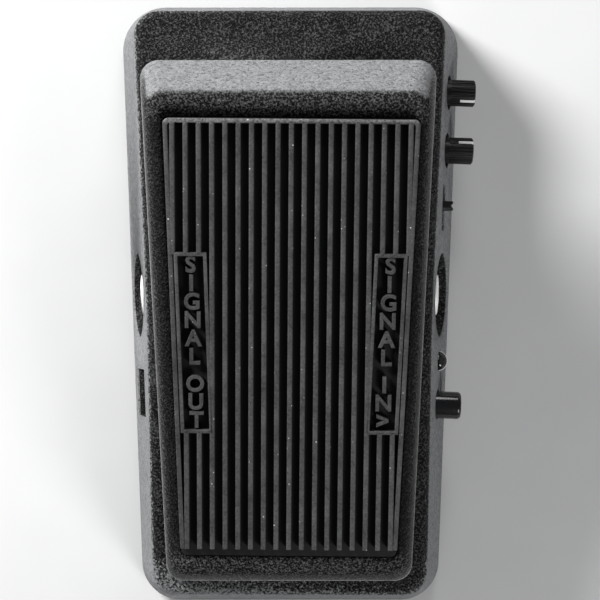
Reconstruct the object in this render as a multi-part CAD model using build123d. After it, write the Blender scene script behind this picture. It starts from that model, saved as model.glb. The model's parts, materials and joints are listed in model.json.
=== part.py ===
from build123d import *
import math
import os

os.makedirs("parts", exist_ok=True)

# Compact rocker effect pedal. +Y is the toe end, +X the control side, +Z up, floor at 0.
# Every dimension is in millimetres, every angle in degrees.

# Case: cast shell with leaning walls and a roof that peaks at the pivot.
CASE_LENGTH = 148.0
CASE_HALF_WIDTH = 39.45
CASE_SIDE_SLOPE = 0.0385
CASE_TOE_RADIUS = 10.8
CASE_HEEL_RADIUS = 9.6
CASE_DRAFT = 12.5
CASE_WALL = 2.5
RIM_Z = 2.5
DECK_Z = 31.0
DECK_PEAK_HALF = 8.0
DECK_FALL_TOE = 0.069
DECK_FALL_HEEL = 0.129
DECK_THICKNESS = 2.8
DECK_FILLET = 2.5
RIDGE_RADIUS = 60.0
PLATE_THICKNESS = 1.2
PLATE_INSET = 3.2

# Treadle: u runs to the toe and w up, both from the pivot axis.
PIVOT_Y = -1.0
PIVOT_Z = 38.0
REST_TILT = 11.0
TREADLE_HEIGHT = 14.0
TREADLE_TOE = 55.6
TREADLE_HEEL = -65.9
TREADLE_TOE_RUN = 5.9
TREADLE_HEEL_RUN = 6.4
TREADLE_SIDE_RUN = 2.0
TREADLE_HALF_WIDTH = 31.15
TREADLE_SLOPE = 0.0369
TREADLE_CORNER = 4.2
TREADLE_WALL = 2.5
TREADLE_FILLET = 3.0
EAR_DEPTH = 6.0
EAR_HALF_LENGTH = 10.5
EAR_INNER_X = 25.6

# Mat with lengthwise ribs, glued in a shallow recess, a little off centre and askew.
MAT_TOE = 43.7
MAT_HEEL = -54.9
MAT_HALF_WIDTH = 26.18
MAT_SLOPE = 0.0345
MAT_SHIFT = 0.53
MAT_TURN = -0.5
MAT_RECESS = 0.8
MAT_BASE = 1.1
MAT_TOP = 16.4
RIB_PITCH = 2.855
RIB_WIDTH = 1.1
RIB_COUNT = 19
RIB_HEEL = -52.7
MAT_RIM = 1.3
PANEL_LOW = -25.9
PANEL_HIGH = 14.6
PANEL_WIDTH = 7.2
PANEL_LINE = 0.8
PANEL_FLOOR = 15.0

# Pivot shaft and its bushings.
SHAFT_RADIUS = 2.5
SHAFT_HALF_LENGTH = 30.4
SET_SCREW_X = 28.3
BUSH_RADIUS = 3.5
LUG_INNER_X = 18.0
LUG_OUTER_X = 23.0
LUG_RADIUS = 6.5
RUNNING_GAP = 0.05
FIXED_GAP = 0.02

# Gear sector on the treadle and the pinion on the main potentiometer.
MODULE = 0.8
SECTOR_TEETH = 80
PINION_TEETH = 13
PRESSURE = math.radians(20)
MESH_ANGLE = -35.0
SECTOR_FIRST = -41.75
SECTOR_COUNT = 8
SECTOR_INNER = 27.0
SECTOR_X = (-7.5, -4.5)
PINION_X = (-8.2, -3.8)
FLANK_RELIEF = 0.07
PINION_DISTANCE = MODULE * (SECTOR_TEETH + PINION_TEETH) / 2
PINION_Y = PIVOT_Y + PINION_DISTANCE * math.cos(math.radians(MESH_ANGLE))
PINION_Z = PIVOT_Z + PINION_DISTANCE * math.sin(math.radians(MESH_ANGLE))
SECTOR_SCREWS = ((24.0, 5.5), (28.5, 5.5))
SECTOR_SLOT = (6.4, 17.0)
SECTOR_SLOT_Y = 25.2
POT_SHAFT_RADIUS = 3.0
POT_THREAD_RADIUS = 3.6
POT_CAN_RADIUS = 7.8
BRACKET_TOP = 25.8
BRACKET_WIDTH = 22.0
BRACKET_SCREW_X = -19.5
BRACKET_SCREW_Y = (PINION_Y - 8.0, PINION_Y + 8.0)

# Fittings in the side walls.
FITTING_Z = 14.6
KNOB_Y = (50.9, 36.9)
KNOB_RADIUS = 3.2
KNOB_END = 6.2
KNOB_HOLE = 4.2
KNOB_SHAFT_RADIUS = 1.75
POINTER_ANGLE = (44.0, -35.0)
SLIDE_Y = 22.8
SLIDE_Z = 17.0
SLIDE_LENGTH = 11.0
SLIDE_HEIGHT = 3.6
SLIDER_OFFSET = 0.45
JACK_Y = 1.8
RECESS_RADIUS = 10.3
RECESS_DEPTH = 3.5
JACK_NUT_RADIUS = 5.5
JACK_NUT_FACE = -1.1
JACK_THREAD_RADIUS = 4.7
JACK_BORE = 3.25
LAMP_Y = -14.2
BOOST_Y = -24.7
BOOST_RADIUS = 3.3
BOOST_END = 5.6
POWER_Y = -21.9
POWER_Z = 14.1
POWER_SIZE = (11.5, 13.8)

# Toe switch, rubber stops, board and fasteners.
SWITCH_Y = 50.2
SWITCH_FLAT_Z = 28.7
SWITCH_THREAD_RADIUS = 5.9
PLUNGER_RADIUS = 2.0
PLUNGER_TOP = 33.0
STRIKER_U = 51.0
STRIKER_W = 1.6
STRIKER_RADIUS = 2.4
STRIKER_THICKNESS = 1.3
HEEL_BUMPER = (18.0, -58.0)
TOE_BUMPER = (18.0, 39.0)
TOE_BUMPER_HEIGHT = 3.7
HEEL_BUMPER_HEIGHT = 1.8
BOARD_TOP = 7.4
BOARD_THICKNESS = 1.6
BOARD_SPAN = (-58.0, -12.0)
BOARD_POSTS = ((-24.0, -53.0), (24.0, -53.0), (-19.0, -16.0), (19.0, -16.0))
CASE_POSTS = ((-31.5, 64.0), (31.5, 64.0), (-26.5, -64.0), (26.5, -64.0))
FEET = ((-30.0, 47.0), (30.0, 47.0), (-26.5, -46.0), (26.5, -46.0))
FOOT_RADIUS = 6.0
SCREW_RADIUS = 1.5
SMALL_SCREW_RADIUS = 1.25
SMALL_HEAD_RADIUS = 2.2

# The frame's origin is the middle of the whole footprint, knobs included.
FOOTPRINT_SHIFT = -1.57

BASE = (Align.CENTER, Align.CENTER, Align.MIN)
side_tilt = math.atan(CASE_SIDE_SLOPE)
draft_run = math.tan(math.radians(CASE_DRAFT))
treadle_place = Pos(0, PIVOT_Y, PIVOT_Z) * Rot(X=REST_TILT)
mat_place = Pos(MAT_SHIFT, 0, 0) * Rot(Z=MAT_TURN)
upright = Plane.YZ.location


def save(name, shape):
    """Write one named sub-part in the shared frame."""
    moved = Pos(FOOTPRINT_SHIFT, 0, 0) * shape
    export_step(moved, os.path.join("parts", name + ".step"))


def rod(radius, low, high):
    """Cylinder along the local Z axis from low to high."""
    return Pos(0, 0, low) * Cylinder(radius, high - low, align=BASE)


def tube(outer, inner, low, high):
    """Ring with a bore along the local Z axis."""
    return rod(outer, low, high) - rod(inner, low - 1, high + 1)


def block(width, depth, low, high):
    """Box centred in X and Y, from low to high in Z."""
    return Pos(0, 0, low) * Box(width, depth, high - low, align=BASE)


def along_x(y, z, shape):
    """Turn a shape built along local Z so that it runs along X through (y, z)."""
    return Pos(0, y, z) * upright * shape


def deck_z(y):
    """Height of the case's roof over a point on the centre line."""
    fall = DECK_FALL_TOE if y > 0 else DECK_FALL_HEEL
    return DECK_Z - max(abs(y) - DECK_PEAK_HALF, 0) * fall


def tapered_outline(low, high, half, slope, toe_radius, heel_radius):
    """Symmetric outline that widens towards the toe, with rounded corners."""
    toe = half + slope * high
    heel = half + slope * low
    plan = Polygon((-heel, low), (heel, low), (toe, high), (-toe, high), align=None)
    plan = fillet(plan.vertices().sort_by(Axis.Y)[-2:], toe_radius)
    return fillet(plan.vertices().sort_by(Axis.Y)[:2], heel_radius)


def case_block(inset, drop):
    """Solid drafted block under the roof line, set in from the outside by inset."""
    half = CASE_LENGTH / 2 - inset
    plan = tapered_outline(
        -half, half, CASE_HALF_WIDTH - inset, CASE_SIDE_SLOPE,
        CASE_TOE_RADIUS - inset, CASE_HEEL_RADIUS - inset,
    )
    body = extrude(Pos(0, 0, RIM_Z) * plan, amount=30, taper=CASE_DRAFT)
    reach = CASE_LENGTH / 2 + 6
    line = [(-reach, deck_z(-reach)), (-DECK_PEAK_HALF, DECK_Z)]
    line += [(DECK_PEAK_HALF, DECK_Z), (reach, deck_z(reach))]
    points = [(y, z - drop) for y, z in line] + [(reach, -6), (-reach, -6)]
    profile = Polygon(*points, align=None)
    profile = fillet(profile.vertices().sort_by(Axis.Y)[-2:], RIDGE_RADIUS)
    return body & extrude(Plane.YZ * profile, amount=60, both=True)


def wall_x(y, z):
    """Half width of the case's outer surface at one place."""
    return CASE_HALF_WIDTH + CASE_SIDE_SLOPE * y - (z - RIM_Z) * draft_run


def wall_plane(side, y, z=FITTING_Z):
    """Frame on a side wall: local Z points out of the case and local Y up."""
    out = (side * math.cos(side_tilt), -math.sin(side_tilt), 0)
    run = (math.sin(side_tilt), side * math.cos(side_tilt), 0)
    return Plane(origin=(side * wall_x(y, z), y, z), x_dir=run, z_dir=out)


def pan_screw(radius, length, head, head_height):
    """Pan-head screw: head above local Z = 0, shank below, with a cross recess."""
    screw = rod(radius, -length, 0) + rod(head, 0, head_height)
    screw = fillet(screw.edges().group_by(Axis.Z)[-1], head_height * 0.4)
    cross = Box(head * 1.1, head * 0.28, head_height) + Box(head * 0.28, head * 1.1, head_height)
    return screw - Pos(0, 0, head_height) * cross


# ---------------------------------------------------------------- case
def make_case():
    outer = case_block(0, 0)
    rim = [
        edge for edge in outer.edges()
        if edge.center().Z > 20 and edge.bounding_box().size.Z < 8
        and not (edge.bounding_box().size.X > 30 and abs(edge.center().Y) < 60)
    ]
    outer = fillet(rim, DECK_FILLET)
    shell = outer - case_block(CASE_WALL, DECK_THICKNESS)

    inside = []
    for x, y in CASE_POSTS:
        inside.append(Pos(x, y, 0) * rod(4.0, RIM_Z + PLATE_THICKNESS, DECK_Z))
    for x, y in BOARD_POSTS:
        inside.append(Pos(x, y, 0) * rod(2.6, BOARD_TOP, DECK_Z))
    for side in (-1, 1):
        ring = wall_plane(side, JACK_Y) * rod(RECESS_RADIUS + 1.9, -RECESS_DEPTH - 2.0, 2)
        inside.append(ring & Box(120, 60, 60, align=BASE).moved(Location((0, 0, 3.75))))
    for y in BRACKET_SCREW_Y:
        inside.append(Pos(BRACKET_SCREW_X, y, 0) * rod(2.8, BRACKET_TOP, DECK_Z))
    for piece in inside:
        shell += piece & outer

    lug = Pos(0, 0, PIVOT_Z) * Cylinder(LUG_RADIUS, LUG_OUTER_X - LUG_INNER_X, rotation=(0, 90, 0))
    lug += Box(LUG_OUTER_X - LUG_INNER_X, 2 * LUG_RADIUS, PIVOT_Z - DECK_Z + 1.5, align=BASE).moved(
        Location((0, 0, DECK_Z - 1.5))
    )
    for side in (-1, 1):
        shell += Pos(side * (LUG_INNER_X + LUG_OUTER_X) / 2, PIVOT_Y, 0) * lug
    shell += Pos(0, SWITCH_Y, 0) * rod(7.6, deck_z(SWITCH_Y) - 2, SWITCH_FLAT_Z)

    shell -= along_x(PIVOT_Y, PIVOT_Z, rod(BUSH_RADIUS + FIXED_GAP, -40, 40))
    shell -= Pos(0, SWITCH_Y, 0) * rod(SWITCH_THREAD_RADIUS + FIXED_GAP, 20, 40)
    shell -= Pos((SECTOR_X[0] + SECTOR_X[1]) / 2, SECTOR_SLOT_Y, 28) * Box(*SECTOR_SLOT, 14)
    for x, y in CASE_POSTS:
        shell -= Pos(x, y, 0) * rod(SCREW_RADIUS + FIXED_GAP, 0, 16)
    for x, y in BOARD_POSTS:
        shell -= Pos(x, y, 0) * rod(SMALL_SCREW_RADIUS + FIXED_GAP, 0, BOARD_TOP + 6)
    for y in BRACKET_SCREW_Y:
        shell -= Pos(BRACKET_SCREW_X, y, 0) * rod(SMALL_SCREW_RADIUS + FIXED_GAP, 20, deck_z(y) - 1.5)
    for side in (-1, 1):
        shell -= wall_plane(side, JACK_Y) * rod(RECESS_RADIUS, -RECESS_DEPTH, 8)
        shell -= wall_plane(side, JACK_Y) * rod(JACK_THREAD_RADIUS + RUNNING_GAP, -8, 8)
    for y in KNOB_Y:
        shell -= wall_plane(1, y) * rod(KNOB_HOLE, -8, 8)
    shell -= wall_plane(1, SLIDE_Y, SLIDE_Z) * Box(SLIDE_LENGTH, SLIDE_HEIGHT, 16)
    shell -= wall_plane(1, LAMP_Y) * rod(2.6, -8, 8)
    shell -= wall_plane(1, BOOST_Y) * rod(BOOST_RADIUS + 0.3, -8, 8)
    shell -= wall_plane(-1, POWER_Y, POWER_Z) * Box(*POWER_SIZE, 16)
    return shell


def make_base_plate():
    half = CASE_LENGTH / 2 - PLATE_INSET
    plan = tapered_outline(
        -half, half, CASE_HALF_WIDTH - PLATE_INSET, CASE_SIDE_SLOPE,
        CASE_TOE_RADIUS - PLATE_INSET, CASE_HEEL_RADIUS - PLATE_INSET,
    )
    plate = extrude(Pos(0, 0, RIM_Z) * plan, amount=PLATE_THICKNESS)
    for x, y in CASE_POSTS:
        hole = rod(SCREW_RADIUS + FIXED_GAP, 0, 6)
        hole += Pos(0, 0, RIM_Z + 0.5) * Cone(3.02, 1.5, 1.0)
        plate -= Pos(x, y, 0) * hole
    return plate


def make_base_screws():
    shank = rod(SCREW_RADIUS, RIM_Z, 14)
    head = Pos(0, 0, RIM_Z + 0.5) * Cone(3.0, 1.5, 1.0)
    slot = Pos(0, 0, RIM_Z) * (Box(3.2, 0.7, 1.2) + Box(0.7, 3.2, 1.2))
    screw = shank + head - slot
    return Compound([Pos(x, y, 0) * screw for x, y in CASE_POSTS])


def make_feet():
    foot = rod(FOOT_RADIUS, 0, RIM_Z)
    foot = fillet(foot.edges().group_by(Axis.Z)[0], 0.8)
    return Compound([Pos(x, y, 0) * foot for x, y in FEET])


def make_bushings():
    bush = tube(BUSH_RADIUS, SHAFT_RADIUS + RUNNING_GAP, LUG_INNER_X - 1.0, LUG_OUTER_X)
    bush += tube(BUSH_RADIUS + 1.5, SHAFT_RADIUS + RUNNING_GAP, LUG_OUTER_X, LUG_OUTER_X + 1.0)
    right = along_x(PIVOT_Y, PIVOT_Z, bush)
    return Compound([right, mirror(right, about=Plane.YZ)])


def on_deck(x, y, shape):
    """Stand a shape on the sloping deck."""
    slope = -math.degrees(math.atan(DECK_FALL_TOE)) if y > 0 else math.degrees(math.atan(DECK_FALL_HEEL))
    return Pos(x, y, deck_z(y)) * Rot(X=slope) * shape


def make_bumpers(place, radius, height):
    pad = rod(radius, 0.0, height)
    pad = fillet(pad.edges().group_by(Axis.Z)[-1], 0.5)
    return Compound([on_deck(side * place[0], place[1], pad) for side in (-1, 1)])


# ---------------------------------------------------------------- treadle
def treadle_section(w, inset):
    """Treadle outline at height w, set in by inset."""
    up = w / TREADLE_HEIGHT
    plan = tapered_outline(
        TREADLE_HEEL + TREADLE_HEEL_RUN * up + inset, TREADLE_TOE - TREADLE_TOE_RUN * up - inset,
        TREADLE_HALF_WIDTH - TREADLE_SIDE_RUN * up - inset, TREADLE_SLOPE,
        TREADLE_CORNER - 0.5 * inset, TREADLE_CORNER - 0.5 * inset,
    )
    return Pos(0, 0, w) * plan


def mat_outline(grow):
    return tapered_outline(
        MAT_HEEL - grow, MAT_TOE + grow, MAT_HALF_WIDTH + grow, MAT_SLOPE, 1.2, 1.2
    )


def make_treadle():
    outer = loft([treadle_section(0, 0), treadle_section(TREADLE_HEIGHT, 0)], ruled=True)
    outer = fillet(outer.edges().group_by(Axis.Z)[-1], TREADLE_FILLET)
    roof = TREADLE_HEIGHT - TREADLE_WALL
    cavity = loft([treadle_section(-0.5, TREADLE_WALL), treadle_section(roof, TREADLE_WALL)], ruled=True)
    skirt = extrude(treadle_section(0, 0), amount=-EAR_DEPTH - 1)
    envelope = outer + skirt

    ear_radius = EAR_HALF_LENGTH**2 / (2 * EAR_DEPTH) + EAR_DEPTH / 2
    ear = along_x(0, ear_radius - EAR_DEPTH, rod(ear_radius, EAR_INNER_X, 40))
    ear -= Pos(0, 0, roof + 20.5) * Box(120, 60, 40)
    body = outer - cavity
    for piece in (ear, mirror(ear, about=Plane.YZ)):
        body += piece & envelope

    inner = []
    for u in (-46.0, -30.0, 38.0):
        inner.append(Pos(0, u, 0) * block(60, 2.0, 6.5, roof + 0.5))
    for u, place in ((-57.9, HEEL_BUMPER), (40.0, TOE_BUMPER)):
        for side in (-1, 1):
            inner.append(Pos(side * place[0], u, 0) * rod(4.5, 0, roof + 0.5))
    inner.append(Pos(SECTOR_X[1] + 2.0, 26.0, 0) * block(4.0, 13.0, -1.0, roof + 0.5))
    inner.append(Pos(0, STRIKER_U, 0) * rod(4.2, STRIKER_W + STRIKER_THICKNESS, roof + 0.5))
    for piece in inner:
        body += piece & envelope

    recess = extrude(Pos(0, 0, TREADLE_HEIGHT - MAT_RECESS) * mat_outline(0.25), amount=5)
    body -= mat_place * recess
    body -= along_x(0, 0, rod(SHAFT_RADIUS + FIXED_GAP, -SHAFT_HALF_LENGTH - 0.2, SHAFT_HALF_LENGTH + 0.2))
    for side in (-1, 1):
        body -= Pos(side * SET_SCREW_X, 0, 0) * rod(SCREW_RADIUS + FIXED_GAP, -EAR_DEPTH - 1, 0)
    body -= Pos(0, STRIKER_U, 0) * rod(STRIKER_RADIUS + 0.4, -2, STRIKER_W + STRIKER_THICKNESS)
    for u, w in SECTOR_SCREWS:
        body -= along_x(u, w, rod(SMALL_SCREW_RADIUS + FIXED_GAP, SECTOR_X[1] - 1, SECTOR_X[1] + 3.5))
    return treadle_place * body


def rib_positions():
    return [RIB_PITCH * (i - (RIB_COUNT - 1) / 2) for i in range(RIB_COUNT)]


def make_mat():
    low = TREADLE_HEIGHT - MAT_RECESS
    floor = low + MAT_BASE
    rim = MAT_TOP - floor
    sheet = extrude(Pos(0, 0, low) * mat_outline(0), amount=MAT_BASE)
    top = Pos(0, 0, floor) * mat_outline(0)
    field = Pos(0, 0, floor) * tapered_outline(
        RIB_HEEL, MAT_TOE - MAT_RIM, MAT_HALF_WIDTH - MAT_RIM, MAT_SLOPE, 0.8, 0.8
    )
    lip = Pos(0, MAT_HEEL + 1.1, floor) * Rectangle(60, 2.4)
    frame = extrude((top - field) - lip, amount=rim)

    ribs = []
    inside = extrude(field, amount=rim)
    for x in rib_positions():
        bar = Pos(x, (MAT_TOE + RIB_HEEL) / 2, 0) * block(RIB_WIDTH, 100, floor, MAT_TOP)
        ribs.append(bar & inside)
    ribs = [rib for rib in ribs if rib.volume > 1]
    mat = sheet + frame
    for rib in ribs:
        mat += rib

    for side in (-1, 1):
        strip = panel_outline(side, 0)
        mat -= extrude(Pos(0, 0, floor) * strip, amount=rim + 1)
        mat += extrude(Pos(0, 0, floor - 0.2) * strip, amount=rim + 0.2) - extrude(
            Pos(0, 0, PANEL_FLOOR) * panel_outline(side, PANEL_LINE), amount=rim + 1
        )
    return treadle_place * mat_place * mat


def panel_outline(side, inset):
    """Four-sided label panel that follows one slanted edge of the mat."""
    corners = []
    for u in (PANEL_LOW + inset, PANEL_HIGH - inset):
        edge = MAT_HALF_WIDTH + MAT_SLOPE * u - MAT_RIM + 0.1
        corners.append((side * (edge - inset), u))
        corners.append((side * (edge - PANEL_WIDTH + inset), u))
    order = (1, 0, 2, 3) if side > 0 else (0, 1, 3, 2)
    return Polygon(*[corners[i] for i in order], align=None)


def make_pivot_shaft():
    shaft = rod(SHAFT_RADIUS, -SHAFT_HALF_LENGTH, SHAFT_HALF_LENGTH)
    shaft = chamfer(shaft.edges().filter_by(GeomType.CIRCLE), 0.4)
    return along_x(PIVOT_Y, PIVOT_Z, shaft)


def make_set_screws():
    screw = rod(SCREW_RADIUS, -EAR_DEPTH + 0.6, -SHAFT_RADIUS - 0.02)
    screw -= Pos(0, 0, -EAR_DEPTH + 0.6) * extrude(RegularPolygon(0.85, 6), amount=1.2)
    return Compound([treadle_place * Pos(side * SET_SCREW_X, 0, 0) * screw for side in (-1, 1)])


# ---------------------------------------------------------------- gears
def involute(angle):
    return math.tan(angle) - angle


def tooth_half_angle(teeth, radius):
    """Half of the angle that one tooth covers at a radius."""
    pitch_radius = MODULE * teeth / 2
    base = pitch_radius * math.cos(PRESSURE)
    half = math.pi / (2 * teeth) - FLANK_RELIEF / pitch_radius
    return half + involute(PRESSURE) - involute(math.acos(min(base / radius, 1.0)))


def tooth_points(teeth, centre, root, tip):
    """Outline of one tooth, from its root on one side to its root on the other."""
    base = MODULE * teeth / 2 * math.cos(PRESSURE)
    start = max(base, root)
    radii = [start + (tip - start) * i / 3 for i in range(4)]
    flank = [(r, tooth_half_angle(teeth, r)) for r in radii]
    if root < base:
        flank.insert(0, (root, flank[0][1]))
    path = [(r, centre - a) for r, a in flank] + [(r, centre + a) for r, a in reversed(flank)]
    return [(r * math.cos(a), r * math.sin(a)) for r, a in path]


def make_pinion():
    radius = MODULE * PINION_TEETH / 2
    step = 2 * math.pi / PINION_TEETH
    first = math.radians(MESH_ANGLE + 180)
    points = []
    for i in range(PINION_TEETH):
        points += tooth_points(PINION_TEETH, first + i * step, radius - 0.85, radius + 0.8)
    gear = extrude(Polygon(*points, align=None), amount=PINION_X[1] - PINION_X[0])
    gear = Pos(0, 0, PINION_X[0]) * gear
    gear += tube(4.2, POT_SHAFT_RADIUS + FIXED_GAP, PINION_X[0] - 1.6, PINION_X[0] + 1)
    gear -= rod(POT_SHAFT_RADIUS + FIXED_GAP, -20, 10)
    return along_x(PINION_Y, PINION_Z, gear)


def make_gear_sector():
    """Toothed plate built in the treadle's own frame, so its angles lose the rest tilt."""
    pitch_radius = MODULE * SECTOR_TEETH / 2
    root = pitch_radius - 1.05
    step = 2 * math.pi / SECTOR_TEETH
    first = math.radians(SECTOR_FIRST - REST_TILT)
    points = []
    for i in range(SECTOR_COUNT):
        points += tooth_points(SECTOR_TEETH, first + i * step, root, pitch_radius + 0.6)
    last = first + (SECTOR_COUNT - 0.4) * step
    points += [(root * math.cos(last), root * math.sin(last)), (31.5, -8.0), (31.5, 9.5), (20.8, 9.5)]
    band = math.radians(-29.0)
    low = first - 0.6 * step
    arc = [band + (low - band) * i / 6 for i in range(7)]
    points += [(SECTOR_INNER * math.cos(a), SECTOR_INNER * math.sin(a)) for a in arc]
    points += [(root * math.cos(low), root * math.sin(low))]
    plate = Polygon(*points, align=None)
    plate = Pos(0, 0, SECTOR_X[0]) * extrude(plate, amount=SECTOR_X[1] - SECTOR_X[0])
    for u, w in SECTOR_SCREWS:
        plate -= Pos(u, w, 0) * rod(SMALL_SCREW_RADIUS + FIXED_GAP, -10, 0)
    return treadle_place * upright * plate


def make_sector_screws():
    screw = Rot(X=180) * pan_screw(SMALL_SCREW_RADIUS, 6.0, SMALL_HEAD_RADIUS, 1.5)
    return Compound(
        [treadle_place * upright * Pos(u, w, SECTOR_X[0]) * screw for u, w in SECTOR_SCREWS]
    )


def make_striker():
    pad = rod(STRIKER_RADIUS, STRIKER_W, STRIKER_W + STRIKER_THICKNESS)
    return treadle_place * Pos(0, STRIKER_U, 0) * pad


# ---------------------------------------------------------------- main potentiometer
def make_pot_housing():
    can = tube(POT_CAN_RADIUS, POT_SHAFT_RADIUS + RUNNING_GAP, -26.0, -15.6)
    can = fillet(can.edges().group_by(Axis.Z)[0][:1], 0.6)
    can += tube(POT_THREAD_RADIUS, POT_SHAFT_RADIUS + RUNNING_GAP, -15.7, -11.0)
    for i in (-1, 0, 1):
        can += Pos(-8.6, 3.4 * i, -17.4) * Box(4.0, 1.4, 0.8)
    return along_x(PINION_Y, PINION_Z, Rot(Z=90) * can)


def make_pot_shaft():
    return along_x(PINION_Y, PINION_Z, rod(POT_SHAFT_RADIUS, -25.0, PINION_X[1] + 1.0))


def make_pot_nut():
    nut = Pos(0, 0, -13.9) * extrude(RegularPolygon(5.4, 6), amount=1.8)
    return along_x(PINION_Y, PINION_Z, nut - rod(POT_THREAD_RADIUS + FIXED_GAP, -20, 0))


def make_pot_bracket():
    """Bent sheet: an upright that holds the pot and a flange under the deck."""
    web = Pos(-14.8, PINION_Y, BRACKET_TOP - 19.0) * Box(1.4, BRACKET_WIDTH, 19.0, align=BASE)
    flange = Pos(BRACKET_SCREW_X + 2.0, PINION_Y, BRACKET_TOP - 1.2) * Box(
        13.4, BRACKET_WIDTH, 1.2, align=BASE
    )
    bracket = web + flange
    bracket -= along_x(PINION_Y, PINION_Z, rod(POT_THREAD_RADIUS + FIXED_GAP, -20, -10))
    for y in BRACKET_SCREW_Y:
        bracket -= Pos(BRACKET_SCREW_X, y, 0) * rod(SMALL_SCREW_RADIUS + FIXED_GAP, 20, 30)
    return bracket


def make_bracket_screws():
    screw = Rot(X=180) * pan_screw(SMALL_SCREW_RADIUS, 2.6, SMALL_HEAD_RADIUS, 1.4)
    return Compound(
        [Pos(BRACKET_SCREW_X, y, BRACKET_TOP - 1.2) * screw for y in BRACKET_SCREW_Y]
    )


# ---------------------------------------------------------------- toe switch
def make_toe_switch():
    body = block(17.0, 17.0, 9.0, 24.2)
    body = fillet(body.edges().filter_by(Axis.Z), 1.0)
    body += rod(SWITCH_THREAD_RADIUS, 24.0, SWITCH_FLAT_Z + 1.9)
    body -= rod(PLUNGER_RADIUS + RUNNING_GAP, 18.0, 40.0)
    for x in (-5.0, 0.0, 5.0):
        body += Pos(x, 0, 8.0) * Box(1.8, 0.8, 3.4)
    return Pos(0, SWITCH_Y, 0) * body


def make_toe_switch_nut():
    washer = tube(7.2, SWITCH_THREAD_RADIUS + FIXED_GAP, SWITCH_FLAT_Z, SWITCH_FLAT_Z + 0.6)
    nut = Pos(0, 0, SWITCH_FLAT_Z + 0.6) * extrude(RegularPolygon(7.1, 6), amount=1.3)
    nut -= rod(SWITCH_THREAD_RADIUS + FIXED_GAP, 20, 40)
    return Compound([Pos(0, SWITCH_Y, 0) * washer, Pos(0, SWITCH_Y, 0) * nut])


def make_toe_plunger():
    stem = rod(PLUNGER_RADIUS, 20.5, PLUNGER_TOP)
    stem = fillet(stem.edges().group_by(Axis.Z)[-1], 0.7)
    return Pos(0, SWITCH_Y, 0) * stem


# ---------------------------------------------------------------- side controls
def make_knob(angle):
    """Slim fluted knob with a bore for its shaft and a seat for its pointer line."""
    knob = rod(KNOB_RADIUS, -2.2, KNOB_END)
    knob = chamfer(knob.edges().group_by(Axis.Z)[-1], 0.35)
    knob -= rod(KNOB_SHAFT_RADIUS + FIXED_GAP, -5, KNOB_END - 1.6)
    flute = Cylinder(0.3, KNOB_END - 0.9, align=BASE)
    for i in range(18):
        turn = math.radians(10 + 20 * i)
        reach = KNOB_RADIUS + 0.12
        knob -= Pos(reach * math.cos(turn), reach * math.sin(turn), 1.4) * flute
    return Rot(Z=angle) * (knob - pointer_bar(0.0))


def pointer_bar(proud):
    return Pos(0, KNOB_RADIUS - 0.35 + proud, KNOB_END - 1.7) * Box(0.75, 0.8, 3.6)


def make_pointer(angle):
    bar = pointer_bar(0.0) & rod(KNOB_RADIUS + 0.05, -3, KNOB_END)
    return Rot(Z=angle) * bar


def make_control_pot():
    body = block(10.4, 11.0, -10.0, -4.6)
    body = fillet(body.edges().filter_by(Axis.Z), 0.8)
    body += rod(3.0, -4.7, -3.4)
    body -= rod(KNOB_SHAFT_RADIUS + RUNNING_GAP, -9.4, 0)
    return body


def make_slide_switch():
    body = block(14.6, 7.4, -9.4, -4.2)
    body -= block(12.4, 5.4, -8.8, -5.0)
    body -= block(10.4, 3.4, -6.0, 0)
    return body


def make_range_slider():
    lever = block(2.2, 2.9, -6.0, 2.2) + block(3.6, 4.8, -8.5, -5.4)
    notch = Pos(0, 0, 2.4) * Rot(Y=45) * Box(1.1, 6, 1.1)
    return Pos(SLIDER_OFFSET, 0, 0) * (lever - notch)


def make_boost_switch():
    body = block(8.5, 8.5, -12.0, -5.0)
    body = fillet(body.edges().filter_by(Axis.Z), 0.6)
    return body - rod(1.9, -11.4, -4)


def make_boost_button():
    cap = rod(BOOST_RADIUS, -1.8, BOOST_END)
    cap = fillet(cap.edges().group_by(Axis.Z)[-1], 1.0)
    return cap + rod(1.6, -9.0, -1.7)


def make_lamp():
    lamp = rod(2.5, -4.0, -0.5) + Pos(0, 0, -0.5) * Sphere(2.5) + rod(2.9, -4.4, -3.4)
    for x in (-1.27, 1.27):
        lamp += Pos(x, 0, -8.0) * Box(0.5, 0.5, 8.0)
    return lamp


def make_jack():
    """Enclosed 6.35 mm socket with its threaded bush and open bore."""
    body = block(16.0, 15.0, -28.0, -RECESS_DEPTH - 2.0)
    body = fillet(body.edges().filter_by(Axis.Z), 1.2)
    body += rod(JACK_THREAD_RADIUS, -RECESS_DEPTH - 2.1, -1.5)
    return body - rod(JACK_BORE, -40, 5)


def make_jack_nut():
    nut = tube(JACK_NUT_RADIUS, JACK_THREAD_RADIUS + FIXED_GAP, -RECESS_DEPTH, JACK_NUT_FACE)
    nut = chamfer(nut.edges().group_by(Axis.Z)[-1].sort_by(SortBy.LENGTH)[-1], 0.3)
    for i in range(24):
        nut -= Rot(Z=15 * i) * Pos(JACK_NUT_RADIUS + 0.1, 0, -3) * Cylinder(0.28, 9)
    return nut


def make_jack_lugs():
    lugs = [
        wall_plane(side, JACK_Y) * Pos(x, 9.0, -20.0) * Box(1.6, 3.0, 0.5)
        for side in (-1, 1) for x in (-4.5, 4.5)
    ]
    return Compound(lugs)


def make_power_inlet():
    low = BOARD_TOP - POWER_Z
    body = block(10.9, 13.2, -14.0, -2.0).moved(Location((0, low + 6.6, 0)))
    body -= rod(3.0, -11.5, 0)
    return wall_plane(-1, POWER_Y, POWER_Z) * body


def make_power_pin():
    pin = rod(1.0, -11.5, -3.0)
    pin = fillet(pin.edges().group_by(Axis.Z)[-1], 0.4)
    return wall_plane(-1, POWER_Y, POWER_Z) * pin


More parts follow.
